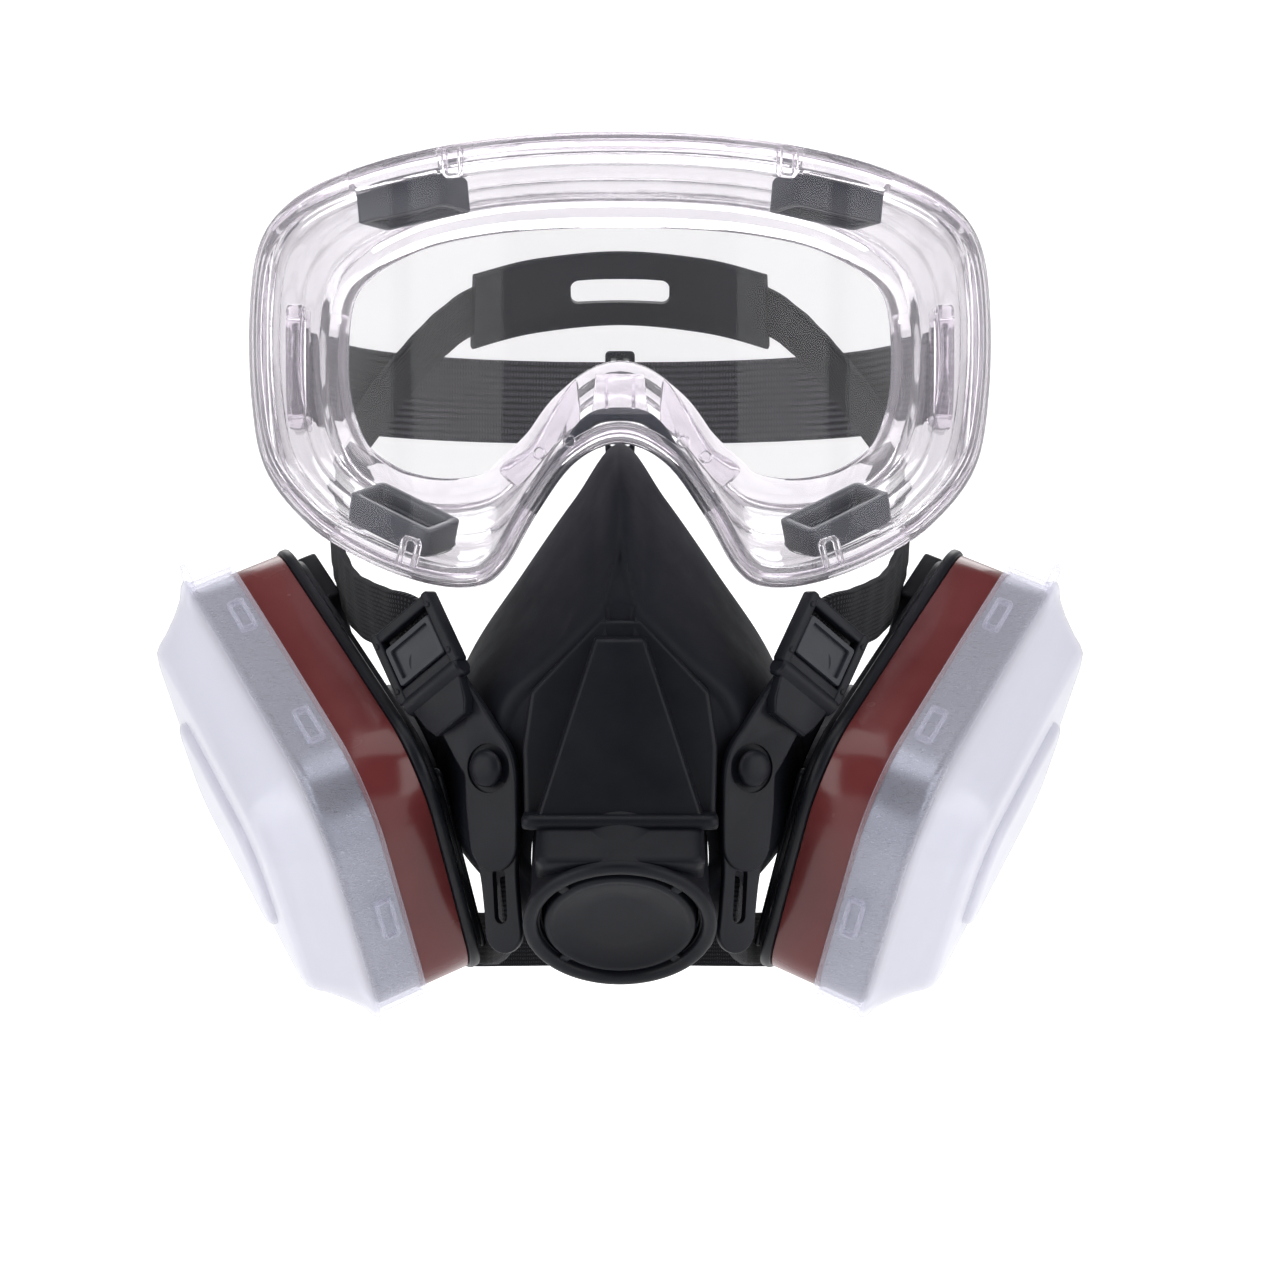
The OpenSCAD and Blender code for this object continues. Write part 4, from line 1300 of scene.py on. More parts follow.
    def windows(self) -> Object:
        """Raised frames round the clip windows in the skirt."""
        shape = Shape()
        half = self.width / 2
        spots = [(x, s * (half + 1.4), 90 * s) for x in (-27, 22) for s in (-1, 1)]
        spots += [(self.length / 2 + 1.6, 0, 0), (-self.length / 2 - 1.6, 0, 180)]
        for x, y, heading in spots:
            c, s = math.cos(math.radians(heading)), math.sin(math.radians(heading))
            y += -0.022 * x * (1 if y > 0 else -1) if abs(y) > 1 else 0
            face = np.column_stack([[-s, c, 0], [0, 0, 1], [c, s, 0]])
            local = Placement((x, y, self.foot + 4.6), face)
            whole_frame = Placement(tuple(CARTRIDGE.place(np.array([local.origin]))[0]),
                                    CARTRIDGE.turned @ local.turned)
            outer, hole = rounded_box(6.2, 2.2, 0.9, 4), rounded_box(5.2, 1.25, 0.5, 4)
            rings = [np.column_stack([o, np.full(len(o), z)]) for o, z in
                     ((outer, -0.6), (outer, 0.7), (outer * 0.97, 0.9), (hole * 1.04, 0.9), (hole, 0.7),
                      (hole, -0.6))]
            shape.loft(rings, Edge.LOOPED, whole_frame)
        return shape.build("windows", self.side)

    def pad(self) -> None:
        """Cotton prefilter pad, swollen by a cloth simulation under the cap."""
        name = f"prefilter_pad_{self.side.value}"
        low = self.depth + 0.5
        high = low + self.pad_depth
        made = self.shell([(24, low), (4.5, low), (3.4, low + 0.6), (3.4, low + 2.0), (5.6, low + 4.4),
                           (8.8, low + 5.6), (14, high - 0.6), (24, high - 0.4)])
        made = made.build(f"{name}_felt", self.side, 60)
        rest = self.swollen(made)
        dressed(rest, COTTON, self.cap_body, "cotton", name)

    @staticmethod
    def swollen(obj: Object, voxel: float = 2.0, cap: float = 1.6) -> Object:
        """Swells a pad with cloth pressure, and caps how far its points go.

        Args:
            obj: the pad's first shape.
            voxel: remesh size in millimetres.
            cap: the furthest that a point may move, in millimetres.

        Returns:
            The pad as a plain mesh.
        """
        grid = obj.modifiers.new("grid", "REMESH")
        grid.mode, grid.voxel_size = "VOXEL", voxel * MM
        baked(obj)
        start = np.zeros(len(obj.data.vertices) * 3)
        obj.data.vertices.foreach_get("co", start)
        cloth = obj.modifiers.new("cloth", "CLOTH")
        cloth.settings.use_pressure = True
        cloth.settings.uniform_pressure_force = 4.0
        cloth.settings.effector_weights.gravity = 0
        scene = bpy.context.scene
        for step in range(1, 21):
            scene.frame_set(step)
            bpy.context.view_layer.update()
        baked(obj)
        scene.frame_set(1)
        now = np.zeros(len(obj.data.vertices) * 3)
        obj.data.vertices.foreach_get("co", now)
        moved = (now - start).reshape(-1, 3)
        far = np.linalg.norm(moved, axis=1)[:, None]
        moved *= np.minimum(1, cap * MM / np.maximum(far, 1e-9))
        obj.data.vertices.foreach_set("co", (start.reshape(-1, 3) + moved).ravel())
        even = obj.modifiers.new("even", "SMOOTH")
        even.iterations, even.factor = 3, 0.5
        finer = obj.modifiers.new("finer", "SUBSURF")
        finer.levels = finer.render_levels = 1
        baked(obj)
        obj.data.polygons.foreach_set("use_smooth", [True] * len(obj.data.polygons))
        return obj


# ----------------------------------------------------------------- harness

HEAD_HUB, NECK_HUB = (0, 22, 30), (0, 22, -84)
UPPER_ROUTE = ((43.8, -60.7, -4.7), (48.6, -56.8, 2.6), (55.2, -48, 4.9), (65, -27, 9.8), (72, 0, 20.2),
               (76.5, 30, 34), (73.5, 62, 58), (58.1, 88.4, 83.9), (47, 103.2, 96.6), (38, 109.6, 101.6))
LOWER_ROUTE = ((25.6, -70.6, -60), (27, -58, -64), (28.5, -42, -70), (31.5, -20, -74),
               (43, 8, -77), (57, 35, -80), (60.5, 60, -84), (49, 85, -88.5), (27, 96.5, -90),
               (13.6, 98, -90))
UPPER_BEND = (0.052, -0.052, 0.008), (0.0455, -0.060, 0.0)
LOWER_BEND = (0.0285, -0.040, -0.070), (0.0262, -0.066, -0.061)
CRADLE_ROUTE = ((-44, 103.6, 98), (-26, 113, 104), (0, 117, 107), (26, 113, 104), (44, 103.6, 98))


@dataclass
class HarnessSide:
    """Stud, swinging arm, buckle and the two straps of one side."""

    side: Side
    stitches: Repeater
    stud: float = 3.0
    play: float = 0.05
    thick: float = 2.4
    webbing: float = 16.0
    spine: tuple[tuple[float, float, float], ...] = (
        (16.6, 24.0, 5.4), (13, 18.6, 6.0), (8, 11.8, 6.4), (3.4, 5.2, 6.7), (0, 0, 6.9), (-0.7, -9, 6.9),
        (-1.2, -17, 6.4), (-2.0, -23, 5.0), (-2.9, -31, 4.7), (-3.5, -37, 4.8))

    @property
    def arm_body(self) -> str:
        """The body that the arm and buckle ride on."""
        return f"harness_arm_{self.side.value}_body"

    def build(self) -> None:
        """Makes the side's pieces."""
        self.button()
        self.arm()
        self.buckle()
        self.straps()

    def button(self) -> None:
        """Domed stud with a broad foot behind the arm."""
        r = self.stud
        profile = [(0.02, -7), (5, -7), (5, -3.1), (r, -3.1), (r, 0.3), (4.0, 0.35), (4.25, 0.6), (4.2, 1.0),
                   (3.7, 1.6), (2.8, 2.1), (1.6, 2.4), (0.02, 2.5)]
        made = Shape().revolve(profile, 64, STUD).build(f"harness_stud_{self.side.value}_dome", self.side)
        dressed(made, HARNESS, "facepiece_body", "harness_plastic", f"harness_stud_{self.side.value}")

    def outline(self, first: int, last: int) -> Array:
        """The arm's outline between two points of its spine, counter-clockwise with round ends."""
        rows = smooth_curve(np.array(self.spine[first:last], float), 6, False)
        spots, half = rows[:, :2], rows[:, 2]
        along = np.gradient(spots, axis=0)
        along /= np.linalg.norm(along, axis=1)[:, None]
        left = np.column_stack([-along[:, 1], along[:, 0]])
        rim = []
        for i in range(len(spots)):
            rim.append(spots[i] - left[i] * half[i])
        heading = math.atan2(along[-1][1], along[-1][0])
        rim += [spots[-1] + half[-1] * np.array([math.cos(heading + t), math.sin(heading + t)])
                for t in np.linspace(-math.pi / 2, math.pi / 2, 14)[1:-1]]
        for i in range(len(spots) - 1, -1, -1):
            rim.append(spots[i] + left[i] * half[i])
        heading = math.atan2(along[0][1], along[0][0])
        rim += [spots[0] + half[0] * np.array([math.cos(heading + t), math.sin(heading + t)])
                for t in np.linspace(math.pi / 2, 3 * math.pi / 2, 14)[1:-1]]
        return np.array(rim)

    def arm(self) -> None:
        """Swinging arm: a thick upper part, a stepped thinner tail, a stud bore and its slots."""
        low = -self.thick - 0.3
        upper = Shape().slab(self.outline(0, 7), low, low + self.thick, 0.55, 3, STUD)
        upper = upper.build("upper", self.side)
        tail = Shape().slab(self.outline(5, 10), low, low + self.thick - 0.7, 0.45, 3, STUD)
        tail = tail.build("tail", self.side)
        recess = rod(5.6, low + self.thick - 0.9, 3, STUD).build("tool", self.side)
        bore = rod(self.stud + self.play, low - 2, 3, STUD).build("tool", self.side)
        cut(upper, recess)
        cut(upper, bore)
        slot = Shape().slab(capsule((-2.4, -24), (-3.0, -33.4), 1.7), low - 1, low + 4, 0.01, 1, STUD)
        cut(tail, slot.build("tool", self.side))
        notch = Shape().slab(capsule((12.4, 12.6), (6.6, 17.2), 1.3), low - 1, low + 4, 0.01, 1, STUD)
        cut(upper, notch.build("tool", self.side))
        baked(softened(upper, 0.22, 2, 50))
        name = f"harness_arm_{self.side.value}"
        made = merged(f"{name}_moulding", upper, tail)
        made.data.set_sharp_from_angle(angle=math.radians(40))
        dressed(made, HARNESS, self.arm_body, "harness_plastic", name)

    def buckle(self) -> None:
        """Ladder buckle: frame with thick rails, a barrel and a grey plate with a recessed middle."""
        s = self.side.value
        rails = Shape()
        for x in (-9.3, 9.3):
            rails.slab(rounded_box(1.25, 9.4, 0.9, 4) + np.array([x, 0]), -1.7, 1.9, 0.5, 3, BUCKLE)
        for y, half in ((7.9, 1.3), (-7.6, 1.5)):
            rails.slab(rounded_box(9.4, half, 0.9, 4) + np.array([0, y]), -1.6, 1.6, 0.5, 3, BUCKLE)
        for x in (-9.3, 9.3):
            for y in (-6.0, 6.2):
                spot = BUCKLE.shifted(x, y, 1.7)
                rails.revolve([(0.02, -0.4), (0.75, -0.4), (0.75, 0.35), (0.5, 0.6), (0.02, 0.65)], 20, spot)
        barrel = Placement(BUCKLE.shifted(-9.8, -10.2, -0.2).origin, BUCKLE.turned @ turn("Y", 90))
        rails.revolve([(0.02, 0), (2.0, 0), (2.5, 0.5), (2.5, 19.1), (2.0, 19.6), (0.02, 19.6)], 40, barrel)
        lug = np.array([[-8.6, -10.4], [-7.0, -17.6], [-5.2, -20.4], [5.2, -20.4], [7.0, -17.6],
                        [8.6, -10.4]])
        rails.slab(lug, -1.9, 1.2, 0.6, 3, BUCKLE)
        dressed(rails.build(f"buckle_frame_{s}_ladder", self.side), HARNESS, self.arm_body, "harness_plastic",
                f"buckle_frame_{s}")
        plate = Shape()
        outer, hole = rounded_box(7.9, 5.0, 0.7, 4), rounded_box(6.4, 3.7, 0.5, 4)
        shift = np.array([0, -0.6])
        rings = [np.column_stack([o + shift, np.full(len(o), z)]) for o, z in
                 ((outer * 0.2, -1.1), (outer * 0.97, -1.1), (outer, -0.8), (outer, 1.5),
                  (outer * 0.97, 1.75), (hole * 1.02, 1.75), (hole, 1.55), (hole, 0.75),
                  (hole * 0.2, 0.75))]
        plate.loft(rings, Edge.FLAT, BUCKLE)
        dressed(plate.build(f"buckle_plate_{s}_grey", self.side), BUCKLE_GREY, self.arm_body, "buckle_grey",
                f"buckle_plate_{s}")

    def straps(self) -> None:
        """Upper and lower webbing with stitched ends."""
        s = self.side.value
        upper = ("upper_strap", UPPER_ROUTE, self.webbing, HEAD_HUB, *UPPER_BEND)
        lower = ("lower_strap", LOWER_ROUTE, self.webbing - 3, NECK_HUB, *LOWER_BEND)
        for name, route, width, hub, start, end in (upper, lower):
            path = smooth_curve(np.array(route, float), 14, False)
            shape, frames = strap(path, width, 1.6, hub, ripple=0.25)
            made = with_uvs(shape.build(f"{name}_{s}_webbing", self.side, 60), shape.uvs)
            dressed_soft(made, ELASTIC, f"{name}_{s}", "facepiece_body", self.arm_body)
            self.seams(name, frames, width)

    def seams(self, name: str, frames: Array, width: float) -> None:
        """Stitch rows across the strap where it is sewn back on itself."""
        spots, xs, zs = [], [], []
        lift = 1.05
        for row in ((-10, -16) if name == "upper_strap" else (-8, -13)):
            centre, wide, normal, _ = frames[row]
            for k in np.arange(-width / 2 + 1.8, width / 2 - 1.2, STITCH_PITCH):
                spots.append(centre + wide * k + normal * lift)
                xs.append(wide)
                zs.append(normal)
        spots, xs, zs = np.array(spots), np.array(xs), np.array(zs)
        if self.side is Side.RIGHT:
            spots, xs, zs = (a * np.array([-1, 1, 1]) for a in (spots, xs, zs))
        made = self.stitches.run(f"{name}_{self.side.value}_stitches", spots, turns(xs, zs), THREAD,
                                 length=STITCH_LENGTH, radius=STITCH_RADIUS)
        dressed(made, THREAD, "facepiece_body", "webbing")


def dressed_soft(obj: Object, finish: Finish, node: str, first: str, second: str) -> Object:
    """Gives a strap its finish, hides the CAD node it stands for and bakes its transform into its mesh."""
    obj.data.materials.clear()
    obj.data.materials.append(finish.material())
    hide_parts(node)
    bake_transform(obj)
    LOG.info("%s bends between %s and %s", obj.name, first, second)
    return obj


@dataclass
class RearHarness:
    """Head cradle and neck clip, which both sides' straps run to."""

    stitches: Repeater

    def build(self) -> None:
        """Makes the cradle and the clip."""
        path = smooth_curve(np.array(CRADLE_ROUTE, float), 12, False)
        flat, _ = strap(path, 25.6, 2.2, HEAD_HUB, Swept.MOULDED)
        made = flat.build("head_cradle_pad", crease=50)
        slot = Shape().slab(rounded_box(15, 4, 2.5, 6), -12, 12, 0.01, 1,
                            Placement((0, 116, 106), turn("X", -62))).build("tool")
        cut(made, slot)
        baked(softened(made, 0.5, 2, 50))
        dressed(made, HARNESS, "facepiece_body", "harness_plastic", "head_cradle")
        self.clip()

    def clip(self) -> None:
        """Hook and loop of the neck clip."""
        y, z = 95.2, -98.5
        for name, left, right in (("neck_clip_hook", 2.2, 13.2), ("neck_clip_loop", -13.2, 1.8)):
            shape = Shape()
            place = Placement(((left + right) / 2, y, z + 8.5), turn("X", -90))
            outline = rounded_box((right - left) / 2, 8.5, 2.2, 6)
            shape.slab(outline, 0, 5.5, 0.8, 3, place)
            for k in (-1, 0, 1):
                shape.slab(rounded_box(0.5, 5.2, 0.4, 3) + np.array([k * 2.2, 0]), 5.2, 6.0, 0.3, 2, place)
            made = shape.build(f"{name}_moulding")
            dressed(made, HARNESS, "facepiece_body", "harness_plastic", name)


# ------------------------------------------------------------------ goggle

LENS_HALF = ((0, 117.5), (20, 117.2), (40, 116), (62, 113.2), (80, 108.5), (90.5, 100),
             (94, 84), (93.5, 62), (89, 43), (76, 28), (61, 19), (46, 13.4), (34, 12.4), (27, 16.5),
             (19.5, 29), (10.5, 41), (0, 45.6))
FACE_HALF = ((0, 113), (17, 113), (34, 112.4), (53, 110), (69, 104), (78, 95),
             (81, 80), (80, 62), (74, 47), (63, 38), (52, 34), (41, 33), (31, 35), (24.5, 40),
             (17, 47), (10, 56), (0, 62))
UPPER_VENT = Placement((50, -33, 106.5), turn("Z", 28) @ turn("Y", 6))
LOWER_VENT = Placement((53, -27, 29), turn("Z", 28) @ turn("Y", -24) @ turn("X", 18))


@dataclass
class Goggle:
    """Clear soft frame with pleated walls, cylindrical lens, vents, nose parts, clips and headband."""

    slats: Repeater
    stitches: Repeater
    lens_radius: float = 110
    lens_thick: float = 2.2
    lens_front: float = 62
    wall: float = 1.7
    band_z: float = 72
    band_back: float = 116
    band_width: float = 25
    steps: int = 8
    body: str = "goggle_body"

    @property
    def axis(self) -> float:
        """Y of the lens cylinder's axis."""
        return self.lens_radius - self.lens_front

    def on_lens(self, outline: Array, radius: float) -> Array:
        """A flat outline laid on a cylinder round the lens axis."""
        x = np.clip(outline[:, 0], -radius + 0.01, radius - 0.01)
        return np.column_stack([outline[:, 0], self.axis - np.sqrt(radius**2 - x**2), outline[:, 1]])

    @staticmethod
    def on_face(outline: Array) -> Array:
        """A flat outline laid on the wearer's face."""
        return np.column_stack([outline[:, 0], outline[:, 0]**2 / 150 - 8, outline[:, 1]])

    def station(self, share: float, inward: float, back: float = 0.0, radius: float = 107.6) -> Array:
        """A ring between the lens (share 0) and the face (share 1), drawn in and moved back."""
        lens = self.on_lens(inset(self.lens_line, inward), radius)
        face = self.on_face(inset(self.face_line, inward))
        ring = lens * (1 - share) + face * share
        return ring + np.array([0, back, 0])

    def build(self) -> None:
        """Makes every piece of the goggle."""
        self.lens_line = smooth_curve(whole(LENS_HALF), self.steps, True)
        self.face_line = smooth_curve(whole(FACE_HALF), self.steps, True)
        self.frame()
        self.lens()
        self.nose()
        for side in Side:
            self.vent(side, "upper_vent", UPPER_VENT)
            self.vent(side, "lower_vent", LOWER_VENT)
            self.clip(side)
        self.headband()
        self.slider()

    def frame(self) -> None:
        """Soft frame: lens groove, double rim, pleated wall, face flange and inner wall."""
        w = self.wall
        outside = [(0, 3.4, -1.9), (0, 2.7, -2.7), (0, 1.2, -3.0), (0, 0.35, -2.5), (0, 0.0, -1.6),
                   (0, 0.0, 1.4), (0, 0.5, 2.2), (0, 1.5, 2.6), (0, 1.7, 3.4), (0, 0.9, 4.2), (0, 0.6, 5.0),
                   (0, 0.6, 7.4),
                   (0, 1.2, 8.4), (0.02, 2.0, 9.0), (0.05, 2.6, 9.4), (0.12, 2.2, 8.8), (0.2, 1.4, 8.0),
                   (0.28, 0.9, 7.0), (0.36, 1.5, 6.2), (0.44, 2.1, 5.2), (0.52, 1.5, 4.4), (0.6, 1.0, 3.6),
                   (0.68, 1.6, 2.8), (0.78, 1.7, 1.8), (0.88, 0.9, 0.8), (0.95, 0.2, 0.2), (1.0, 0.0, 0.4),
                   (1.0, 0.3, 1.4), (1.0, 1.2, 2.0), (1.0, 4.5, 2.4), (1.0, 7.6, 2.2), (1.0, 8.6, 1.4)]
        inside = [(1.0, 8.7, 0.2), (1.0, 7.8, -0.7), (1.0, 4.6, -0.5), (0.98, 2.9, -1.0), (0.9, 2.6, -0.6),
                  (0.78, 1.7 + w, 0.8), (0.68, 1.6 + w, 1.8), (0.6, 1.0 + w, 2.6), (0.52, 1.5 + w, 3.4),
                  (0.44, 2.1 + w, 4.2), (0.36, 1.5 + w, 5.2), (0.28, 0.9 + w, 6.0), (0.2, 1.4 + w, 7.0),
                  (0.12, 2.2 + w, 7.8), (0.05, 2.6 + w, 8.0), (0, 3.2 + w, 6.0), (0, 3.2 + w, 1.0),
                  (0, 4.6, 0.2), (0, 1.7, 0.2), (0, 1.7, -1.75)]
        rings = [self.station(*s) for s in outside + inside]
        made = Shape().loft([r[::-1] for r in rings[::-1]], Edge.LOOPED).build("frame", crease=60)
        for side in Side:
            for spot in (UPPER_VENT, LOWER_VENT):
                box = Shape().slab(rounded_box(12.7, 6.7, 1.6, 4), -12, 12, 0.01, 1, spot)
                cut(made, box.build("tool", side), 50)
        details = [self.lens_tabs(), self.marks(), self.flaps()]
        made = merged("goggle_frame_clear", made, *details)
        dressed(made, VINYL, self.body, "frame_clear", "goggle_frame")

    def lens_tabs(self) -> Object:
        """Small U-shaped catches that hold the lens along the rim."""
        shape = Shape()
        spots = ((39, 113.6, -2), (-39, 113.6, 2), (50, 18.6, 196), (-50, 18.6, 164))
        for x, z, lean in spots:
            y = float(self.axis - math.sqrt((self.lens_radius + 0.6)**2 - x * x))
            face = turn("Z", math.degrees(math.asin(x / self.lens_radius))) @ turn("X", 90) @ turn("Z", lean)
            place = Placement((x, y, z), face)
            u = [(-2.6, 1.0), (-2.6, -4.6), (-1.6, -5.8), (1.6, -5.8), (2.6, -4.6), (2.6, 1.0), (1.5, 1.0),
                 (1.5, -4.2), (0.9, -4.8), (-0.9, -4.8), (-1.5, -4.2), (-1.5, 1.0)]
            shape.slab(np.array(u, float), -0.6, 1.1, 0.2, 2, place)
        return shape.build("tabs")

    def marks(self) -> Object:
        """Little round mould marks beside the nose."""
        shape = Shape()
        for x, z in ((-18.6, 43.2), (-11.6, 45.8), (14.6, 45.8), (19.8, 42.4)):
            y = float(self.axis - math.sqrt((self.lens_radius + 0.3)**2 - x * x))
            place = Placement((x, y, z), turn("Z", x / 2) @ turn("X", 90))
            profile = [(1.1, -0.4), (1.6, -0.4), (1.6, 0.35), (1.35, 0.5), (1.1, 0.35)]
            shape.revolve(profile, 24, place)
        return shape.build("marks")

    def flaps(self) -> Object:
        """Soft inner wings either side of the nose."""
        shape = Shape()
        for side in (1, -1):
            wing = np.array([(9.8, 50.5), (9.6, 57.5), (10.2, 61.6), (12.0, 60.4), (15.4, 55.7), (19.0, 49.8),
                             (22.5, 45.1), (27.3, 42.0), (28.2, 39.6), (24.0, 36.4), (19.0, 41.5),
                             (14.2, 47.2)])
            wing = smooth_curve(wing * np.array([side, 1]), 4, True)
            if side < 0:
                wing = wing[::-1]
            place = Placement((0, -46, 0), turn("X", 90))
            shape.slab(wing[::-1], -0.7, 0.7, 0.3, 2, place)
        return shape.build("flaps")

    def lens(self) -> None:
        """Wraparound lens with a raised border, on concentric rings."""
        star = np.array([0.0, 82.0])
        line = inset(self.lens_line, 1.8)
        shares = [1.0, 0.994, 0.975, 0.955, 0.945, 0.9, 0.82, 0.72, 0.6, 0.48, 0.36, 0.24, 0.13, 0.05]
        front, back = [], []
        for s in shares:
            flat = star + (line - star) * s
            edge = 0.35 if 0.955 <= s <= 0.975 else 0.0
            round_off = 0.35 if s == 1.0 else 0.0
            front.append(self.on_lens(flat, self.lens_radius - 0.05 + edge - round_off))
            back.append(self.on_lens(flat, self.lens_radius - self.lens_thick + round_off))
        rings = front[::-1] + back
        made = Shape().loft([r[::-1] for r in rings[::-1]][::-1]).build("goggle_lens_sheet", crease=60)
        self.face_out(made)
        dressed(made, LENS, self.body, "lens_clear", "goggle_lens")

    @staticmethod
    def face_out(obj: Object) -> None:
        """Turns a closed piece's faces outwards."""
        mesh = bmesh.new()
        mesh.from_mesh(obj.data)
        bmesh.ops.recalc_face_normals(mesh, faces=mesh.faces)
        mesh.to_mesh(obj.data)
        mesh.free()

    def nose(self) -> None:
        """Dark rubber arch under the nose bridge, and the clear tab above it."""
        half = np.array([(0, 52.6), (5.5, 51.9), (9.6, 48.6), (13.6, 42.4), (18.6, 35.6), (22.2, 31.2)])
        line = np.vstack([half[::-1] * np.array([-1, 1]), half[1:]])
        line = smooth_curve(line, 6, False)
        along = np.gradient(line, axis=0)
        along /= np.linalg.norm(along, axis=1)[:, None]
        up = np.column_stack([-along[:, 1], along[:, 0]])
        rings = []
        count = len(line)
        for i in range(count):
            share = i / (count - 1)
            tall = 1.5 * math.sin(math.pi * min(max(share, 0.02), 0.98))**0.35
            section = rounded_box(tall, 2.6, min(tall, 0.9) * 0.8, 3)
            flat = line[i] + section[:, :1] * up[i]
            depth = self.axis - math.sqrt(106.8**2 - line[i][0]**2) + 3.6
            rings.append(np.column_stack([flat[:, 0], depth + section[:, 1], flat[:, 1]]))
        made = Shape().loft(rings).build("nose_pad_arch", crease=50)
        self.face_out(made)
        dressed(made, VENT, self.body, "vent_grey", "nose_pad")
        y = -(self.lens_front - self.lens_thick) + 2.4
        outline = [(-6.6, -5.2), (6.6, -5.2), (5.6, 4.2), (-5.6, 4.2)]
        block = Shape().slab(np.array(outline), -0.9, 0.9, 0.35, 3, Placement((0, y, 57.6), turn("X", 90)))
        for x in (-3.1, 3.1):
            block.slab(rounded_box(0.45, 3.6, 0.3, 3) + np.array([x, -0.4]), 0.8, 1.5, 0.2, 2,
                       Placement((0, y, 57.6), turn("X", 90)))
        dressed(block.build("nose_tab_clear"), VINYL, self.body, "frame_clear", "nose_tab")

    def vent(self, side: Side, kind: str, place: Placement) -> None:
        """Vent: bevelled frame with a dished mouth and a row of slats inside."""
        name = f"{kind}_{side.value}"
        shape = Shape()
        levels = [(12.5, 6.5, 1.6, -4.0), (12.5, 6.5, 1.6, 3.2), (12.1, 6.1, 1.4, 4.0), (11.1, 5.1, 1.1, 4.1),
                  (10.4, 4.4, 0.9, 3.2), (10.1, 4.1, 0.8, -3.4), (10.6, 4.6, 0.9, -4.1),
                  (12.1, 6.1, 1.4, -4.2)]
        rings = [np.column_stack([rounded_box(a, b, r, 5), np.full(24, z)]) for a, b, r, z in levels]
        flip = 1 if place is UPPER_VENT else -1
        rings = [r * np.array([1, 1, flip]) for r in rings]
        shape.loft(rings, Edge.LOOPED, place)
        made = shape.build(f"{name}_mouth", side, 50)
        self.face_out(made)
        # The lower vents' mouths take the lighter copy of the vent finish, a painted highlight on their
        # bevels.
        dressed(made, VENT_LIT_COPY if kind == "lower_vent" else VENT, self.body, "vent_grey", name)
        spots = np.array([[0, y, z] for z in (-2.2, 0.4) for y in (-3.0, -1.0, 1.0, 3.0)], float)
        world = place.place(spots, side)
        axes = np.tile(place.turned[:, 0], (len(spots), 1))
        ups = np.tile(place.turned[:, 2], (len(spots), 1))
        if side is Side.RIGHT:
            axes, ups = axes * np.array([-1, 1, 1]), ups * np.array([-1, 1, 1])
        rows = self.slats.run(f"{name}_slats", world, turns(axes, ups), VENT, length=20.4, width=0.62)
        dressed(rows, VENT, self.body, "vent_grey")

    def clip(self, side: Side) -> None:
        """Clear side clip that the headband loops through."""
        name = f"strap_clip_{side.value}"
        place = Placement((86.9, 26.5, self.band_z), turn("Z", 90) @ turn("X", 90))
        outer, hole = rounded_box(8.5, 17, 3, 6), rounded_box(2.5, 13.5, 1.2, 6)
        shift = np.array([-0.4, 0])
        rings = [np.column_stack([o, np.full(len(o), z)]) for o, z in
                 ((outer * 0.97, -2.3), (outer, -1.8), (outer, 1.8), (outer * 0.97, 2.3),
                  (hole * 1.06 + shift, 2.3), (hole + shift, 1.9), (hole + shift, -1.9),
                  (hole * 1.06 + shift, -2.3))]
        made = Shape().loft(rings, Edge.LOOPED, place).build(f"{name}_clear", side, 50)
        self.face_out(made)
        dressed(made, VINYL, self.body, "frame_clear", name)

    def headband(self) -> None:
        """Woven headband, stitched back on itself near each clip."""
        half = [(86.9, 26, 0), (86.5, 42, 0), (83, 62, 0), (70, 88, 0), (48, 106, 0), (22, 114.5, 0),
                (0, self.band_back, 0)]
        other = [(-x, y, z) for x, y, z in half[-2::-1]]
        route = np.array(half + other, float) + np.array([0, 0, self.band_z])
        path = smooth_curve(route, 14, False)
        shape, frames = strap(path, self.band_width, 1.6, (0, 20, self.band_z), ripple=0.15)
        made = with_uvs(shape.build("goggle_strap_webbing", crease=60), shape.uvs)
        dressed(made, BAND, self.body, "webbing", "goggle_strap")
        spots, xs, zs = [], [], []
        for row in (10, 16, len(frames) - 11, len(frames) - 17):
            centre, wide, normal, _ = frames[row]
            for k in np.arange(-10.6, 10.7, STITCH_PITCH):
                spots.append(centre + wide * k + normal * 1.0)
                xs.append(wide)
                zs.append(normal)
        turned = turns(np.array(xs), np.array(zs))
        rows = self.stitches.run("goggle_strap_stitches", np.array(spots), turned, THREAD,
                                 length=STITCH_LENGTH, radius=STITCH_RADIUS)
        dressed(rows, THREAD, self.body, "webbing")

    def slider(self) -> None:
        """Length slider at the back of the headband."""
        y = self.band_back + 0.2
        place = Placement((0, y, self.band_z), turn("X", 90))
        height = self.band_width / 2
        outer, hole = rounded_box(4.5, height + 3, 1.4, 5), rounded_box(3.0, height + 0.8, 0.6, 5)
        shape = Shape()
        for z0, z1 in ((-3.6, -2.0), (2.0, 3.6)):
            rings = [np.column_stack([o, np.full(len(o), z)]) for o, z in
                     ((outer * 0.96, z0), (outer, z0 + 0.4), (outer, z1 - 0.4), (outer * 0.96, z1),
                      (hole * 1.03, z1), (hole, z1 - 0.3), (hole, z0 + 0.3), (hole * 1.03, z0))]
            shape.loft(rings, Edge.LOOPED, place)
        for level in (-height - 1.9, height + 1.9):
            shape.slab(rounded_box(4.2, 1.0, 0.5, 4) + np.array([0, level]), -2.4, 2.4, 0.2, 2, place)
        shape.slab(rounded_box(1.1, height + 1.6, 0.6, 4), 2.1, 3.4, 0.3, 2, place)
        made = shape.build("goggle_slider_frame", crease=50)
        self.face_out(made)
        dressed(made, HARNESS, "goggle_slider_body", "harness_plastic", "goggle_slider")


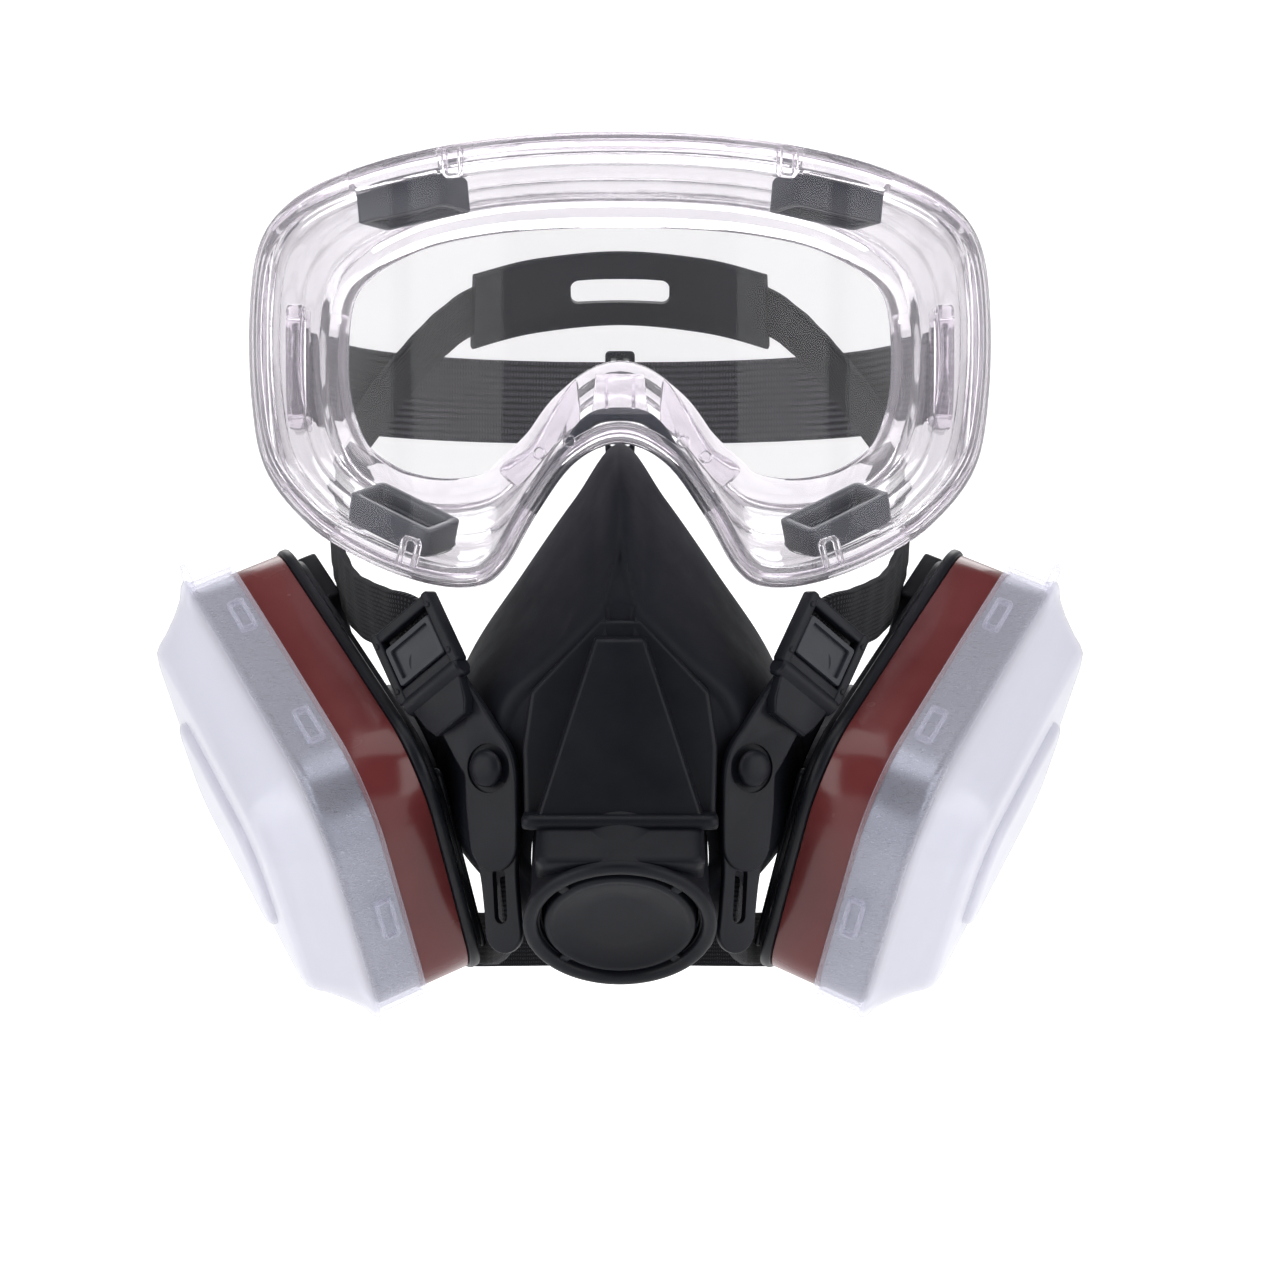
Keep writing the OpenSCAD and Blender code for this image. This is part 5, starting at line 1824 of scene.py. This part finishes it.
# ------------------------------------------------------------------ studio


@dataclass
class Studio:
    """Pale sweep, soft lamps and the camera."""

    distance: float = 0.620
    lens: float = 68.06
    shift: float = 0.015625
    floor: float = -0.30
    bend: float = 1.2
    glow: float = 0.72
    bounced: float = 0.28
    ambient: float = 0.10

    def build(self) -> None:
        """Makes the stage."""
        self.sweep()
        self.lamps()
        self.camera()

    def sweep(self) -> None:
        """Floor that curves up into a wall."""
        r = self.bend
        profile = [(-3.0, 0.0), (r, 0.0)]
        profile += [(r + r * math.sin(t), r - r * math.cos(t)) for t in np.linspace(0.08, math.pi / 2, 16)]
        profile.append((2 * r, 4.0))
        verts = [(x, y, z + self.floor) for y, z in profile for x in (-4.0, 4.0)]
        faces = [(2 * i, 2 * i + 1, 2 * i + 3, 2 * i + 2) for i in range(len(profile) - 1)]
        mesh = bpy.data.meshes.new("sweep")
        mesh.from_pydata(verts, [], faces)
        mesh.polygons.foreach_set("use_smooth", [True] * len(faces))
        obj = bpy.data.objects.new("sweep", mesh)
        bpy.context.scene.collection.objects.link(obj)
        n = Nodes("sweep_paper")
        n.feed("Base Color", n.tint(n.noise(1.4, 2), (0.93, 0.93, 0.935), (0.95, 0.95, 0.955)))
        n.set(roughness=0.9, specular_ior_level=0.1, emission_color=(1, 1, 1, 1))
        rays = n.new("ShaderNodeLightPath")
        bounced = n.new("ShaderNodeMath", operation="ADD")
        n.link(rays.outputs["Is Diffuse Ray"], bounced.inputs[0])
        n.link(rays.outputs["Is Glossy Ray"], bounced.inputs[1])
        n.feed("Emission Strength", n.spread(bounced.outputs[0], self.glow, self.bounced, 0.0, 1.0))
        mesh.materials.append(n.made)

    @staticmethod
    def lamp(name: str, place: Sequence[float], aim: Sequence[float], width: float, height: float,
             watts: float) -> None:
        """A rectangular soft lamp."""
        data = bpy.data.lights.new(name, "AREA")
        data.shape, data.size, data.size_y, data.energy = "RECTANGLE", width, height, watts
        obj = bpy.data.objects.new(name, data)
        bpy.context.scene.collection.objects.link(obj)
        way = Vector(aim) - Vector(place)
        obj.matrix_world = Matrix.Translation(place) @ way.to_track_quat("-Z", "Y").to_matrix().to_4x4()

    def lamps(self) -> None:
        """Two tall strips ahead, a top lamp, a lamp at each side, one behind, and a pale world."""
        self.lamp("strip_left", (1.05, -1.05, 0.35), (0, 0, 0), 0.7, 1.5, 11)
        self.lamp("strip_right", (-1.05, -1.05, 0.35), (0, 0, 0), 0.7, 1.5, 11)
        self.lamp("top", (0, -0.5, 1.5), (0, 0, 0), 1.6, 1.2, 14)
        self.lamp("side_left", (1.4, -0.35, 0.25), (0, 0, 0), 0.6, 1.2, 7)
        self.lamp("side_right", (-1.4, -0.35, 0.25), (0, 0, 0), 0.6, 1.2, 7)
        self.lamp("rear", (0, 1.2, 1.0), (0, 0, 0), 1.4, 0.8, 8)
        world = bpy.data.worlds.new("studio")
        world.use_nodes = True
        tree = world.node_tree
        shade = tree.nodes["Background"]
        shade.inputs["Color"].default_value = (1.0, 1.0, 1.0, 1)
        shade.inputs["Strength"].default_value = self.ambient
        seen = tree.nodes.new("ShaderNodeBackground")
        seen.inputs["Color"].default_value = (1.0, 1.0, 1.0, 1)
        seen.inputs["Strength"].default_value = self.glow
        rays = tree.nodes.new("ShaderNodeLightPath")
        either = tree.nodes.new("ShaderNodeMixShader")
        tree.links.new(rays.outputs["Is Camera Ray"], either.inputs["Fac"])
        tree.links.new(shade.outputs["Background"], either.inputs[1])
        tree.links.new(seen.outputs["Background"], either.inputs[2])
        tree.links.new(either.outputs["Shader"], tree.nodes["World Output"].inputs["Surface"])
        bpy.context.scene.world = world

    def camera(self) -> None:
        """The camera, level and straight on."""
        data = bpy.data.cameras.new("camera")
        data.lens, data.sensor_width, data.shift_x = self.lens, 36, self.shift
        data.clip_start, data.clip_end = 0.01, 50
        obj = bpy.data.objects.new("camera", data)
        bpy.context.scene.collection.objects.link(obj)
        obj.matrix_world = Matrix.Translation((0, -self.distance, 0)) @ Matrix.Rotation(math.pi / 2, 4, "X")
        bpy.context.scene.camera = obj


def main() -> None:
    """Builds the studio and every sub-assembly in order."""
    logging.basicConfig(level=logging.INFO, format="%(name)s: %(message)s")
    scene = bpy.context.scene
    scene.view_settings.view_transform = "Standard"
    scene.cycles.max_bounces = scene.cycles.transmission_bounces = 24
    scene.cycles.transparent_max_bounces = 32
    Studio().build()
    slats, stitches = slatter(), stitcher()
    Facepiece().build()
    FrontCover().build()
    ExhalationValve().build()
    InhalationPorts().build()
    for side in Side:
        Cartridge(side).build()
        HarnessSide(side, stitches).build()
    RearHarness(stitches).build()
    Goggle(slats, stitches).build()


if __name__ == "__main__":
    main()
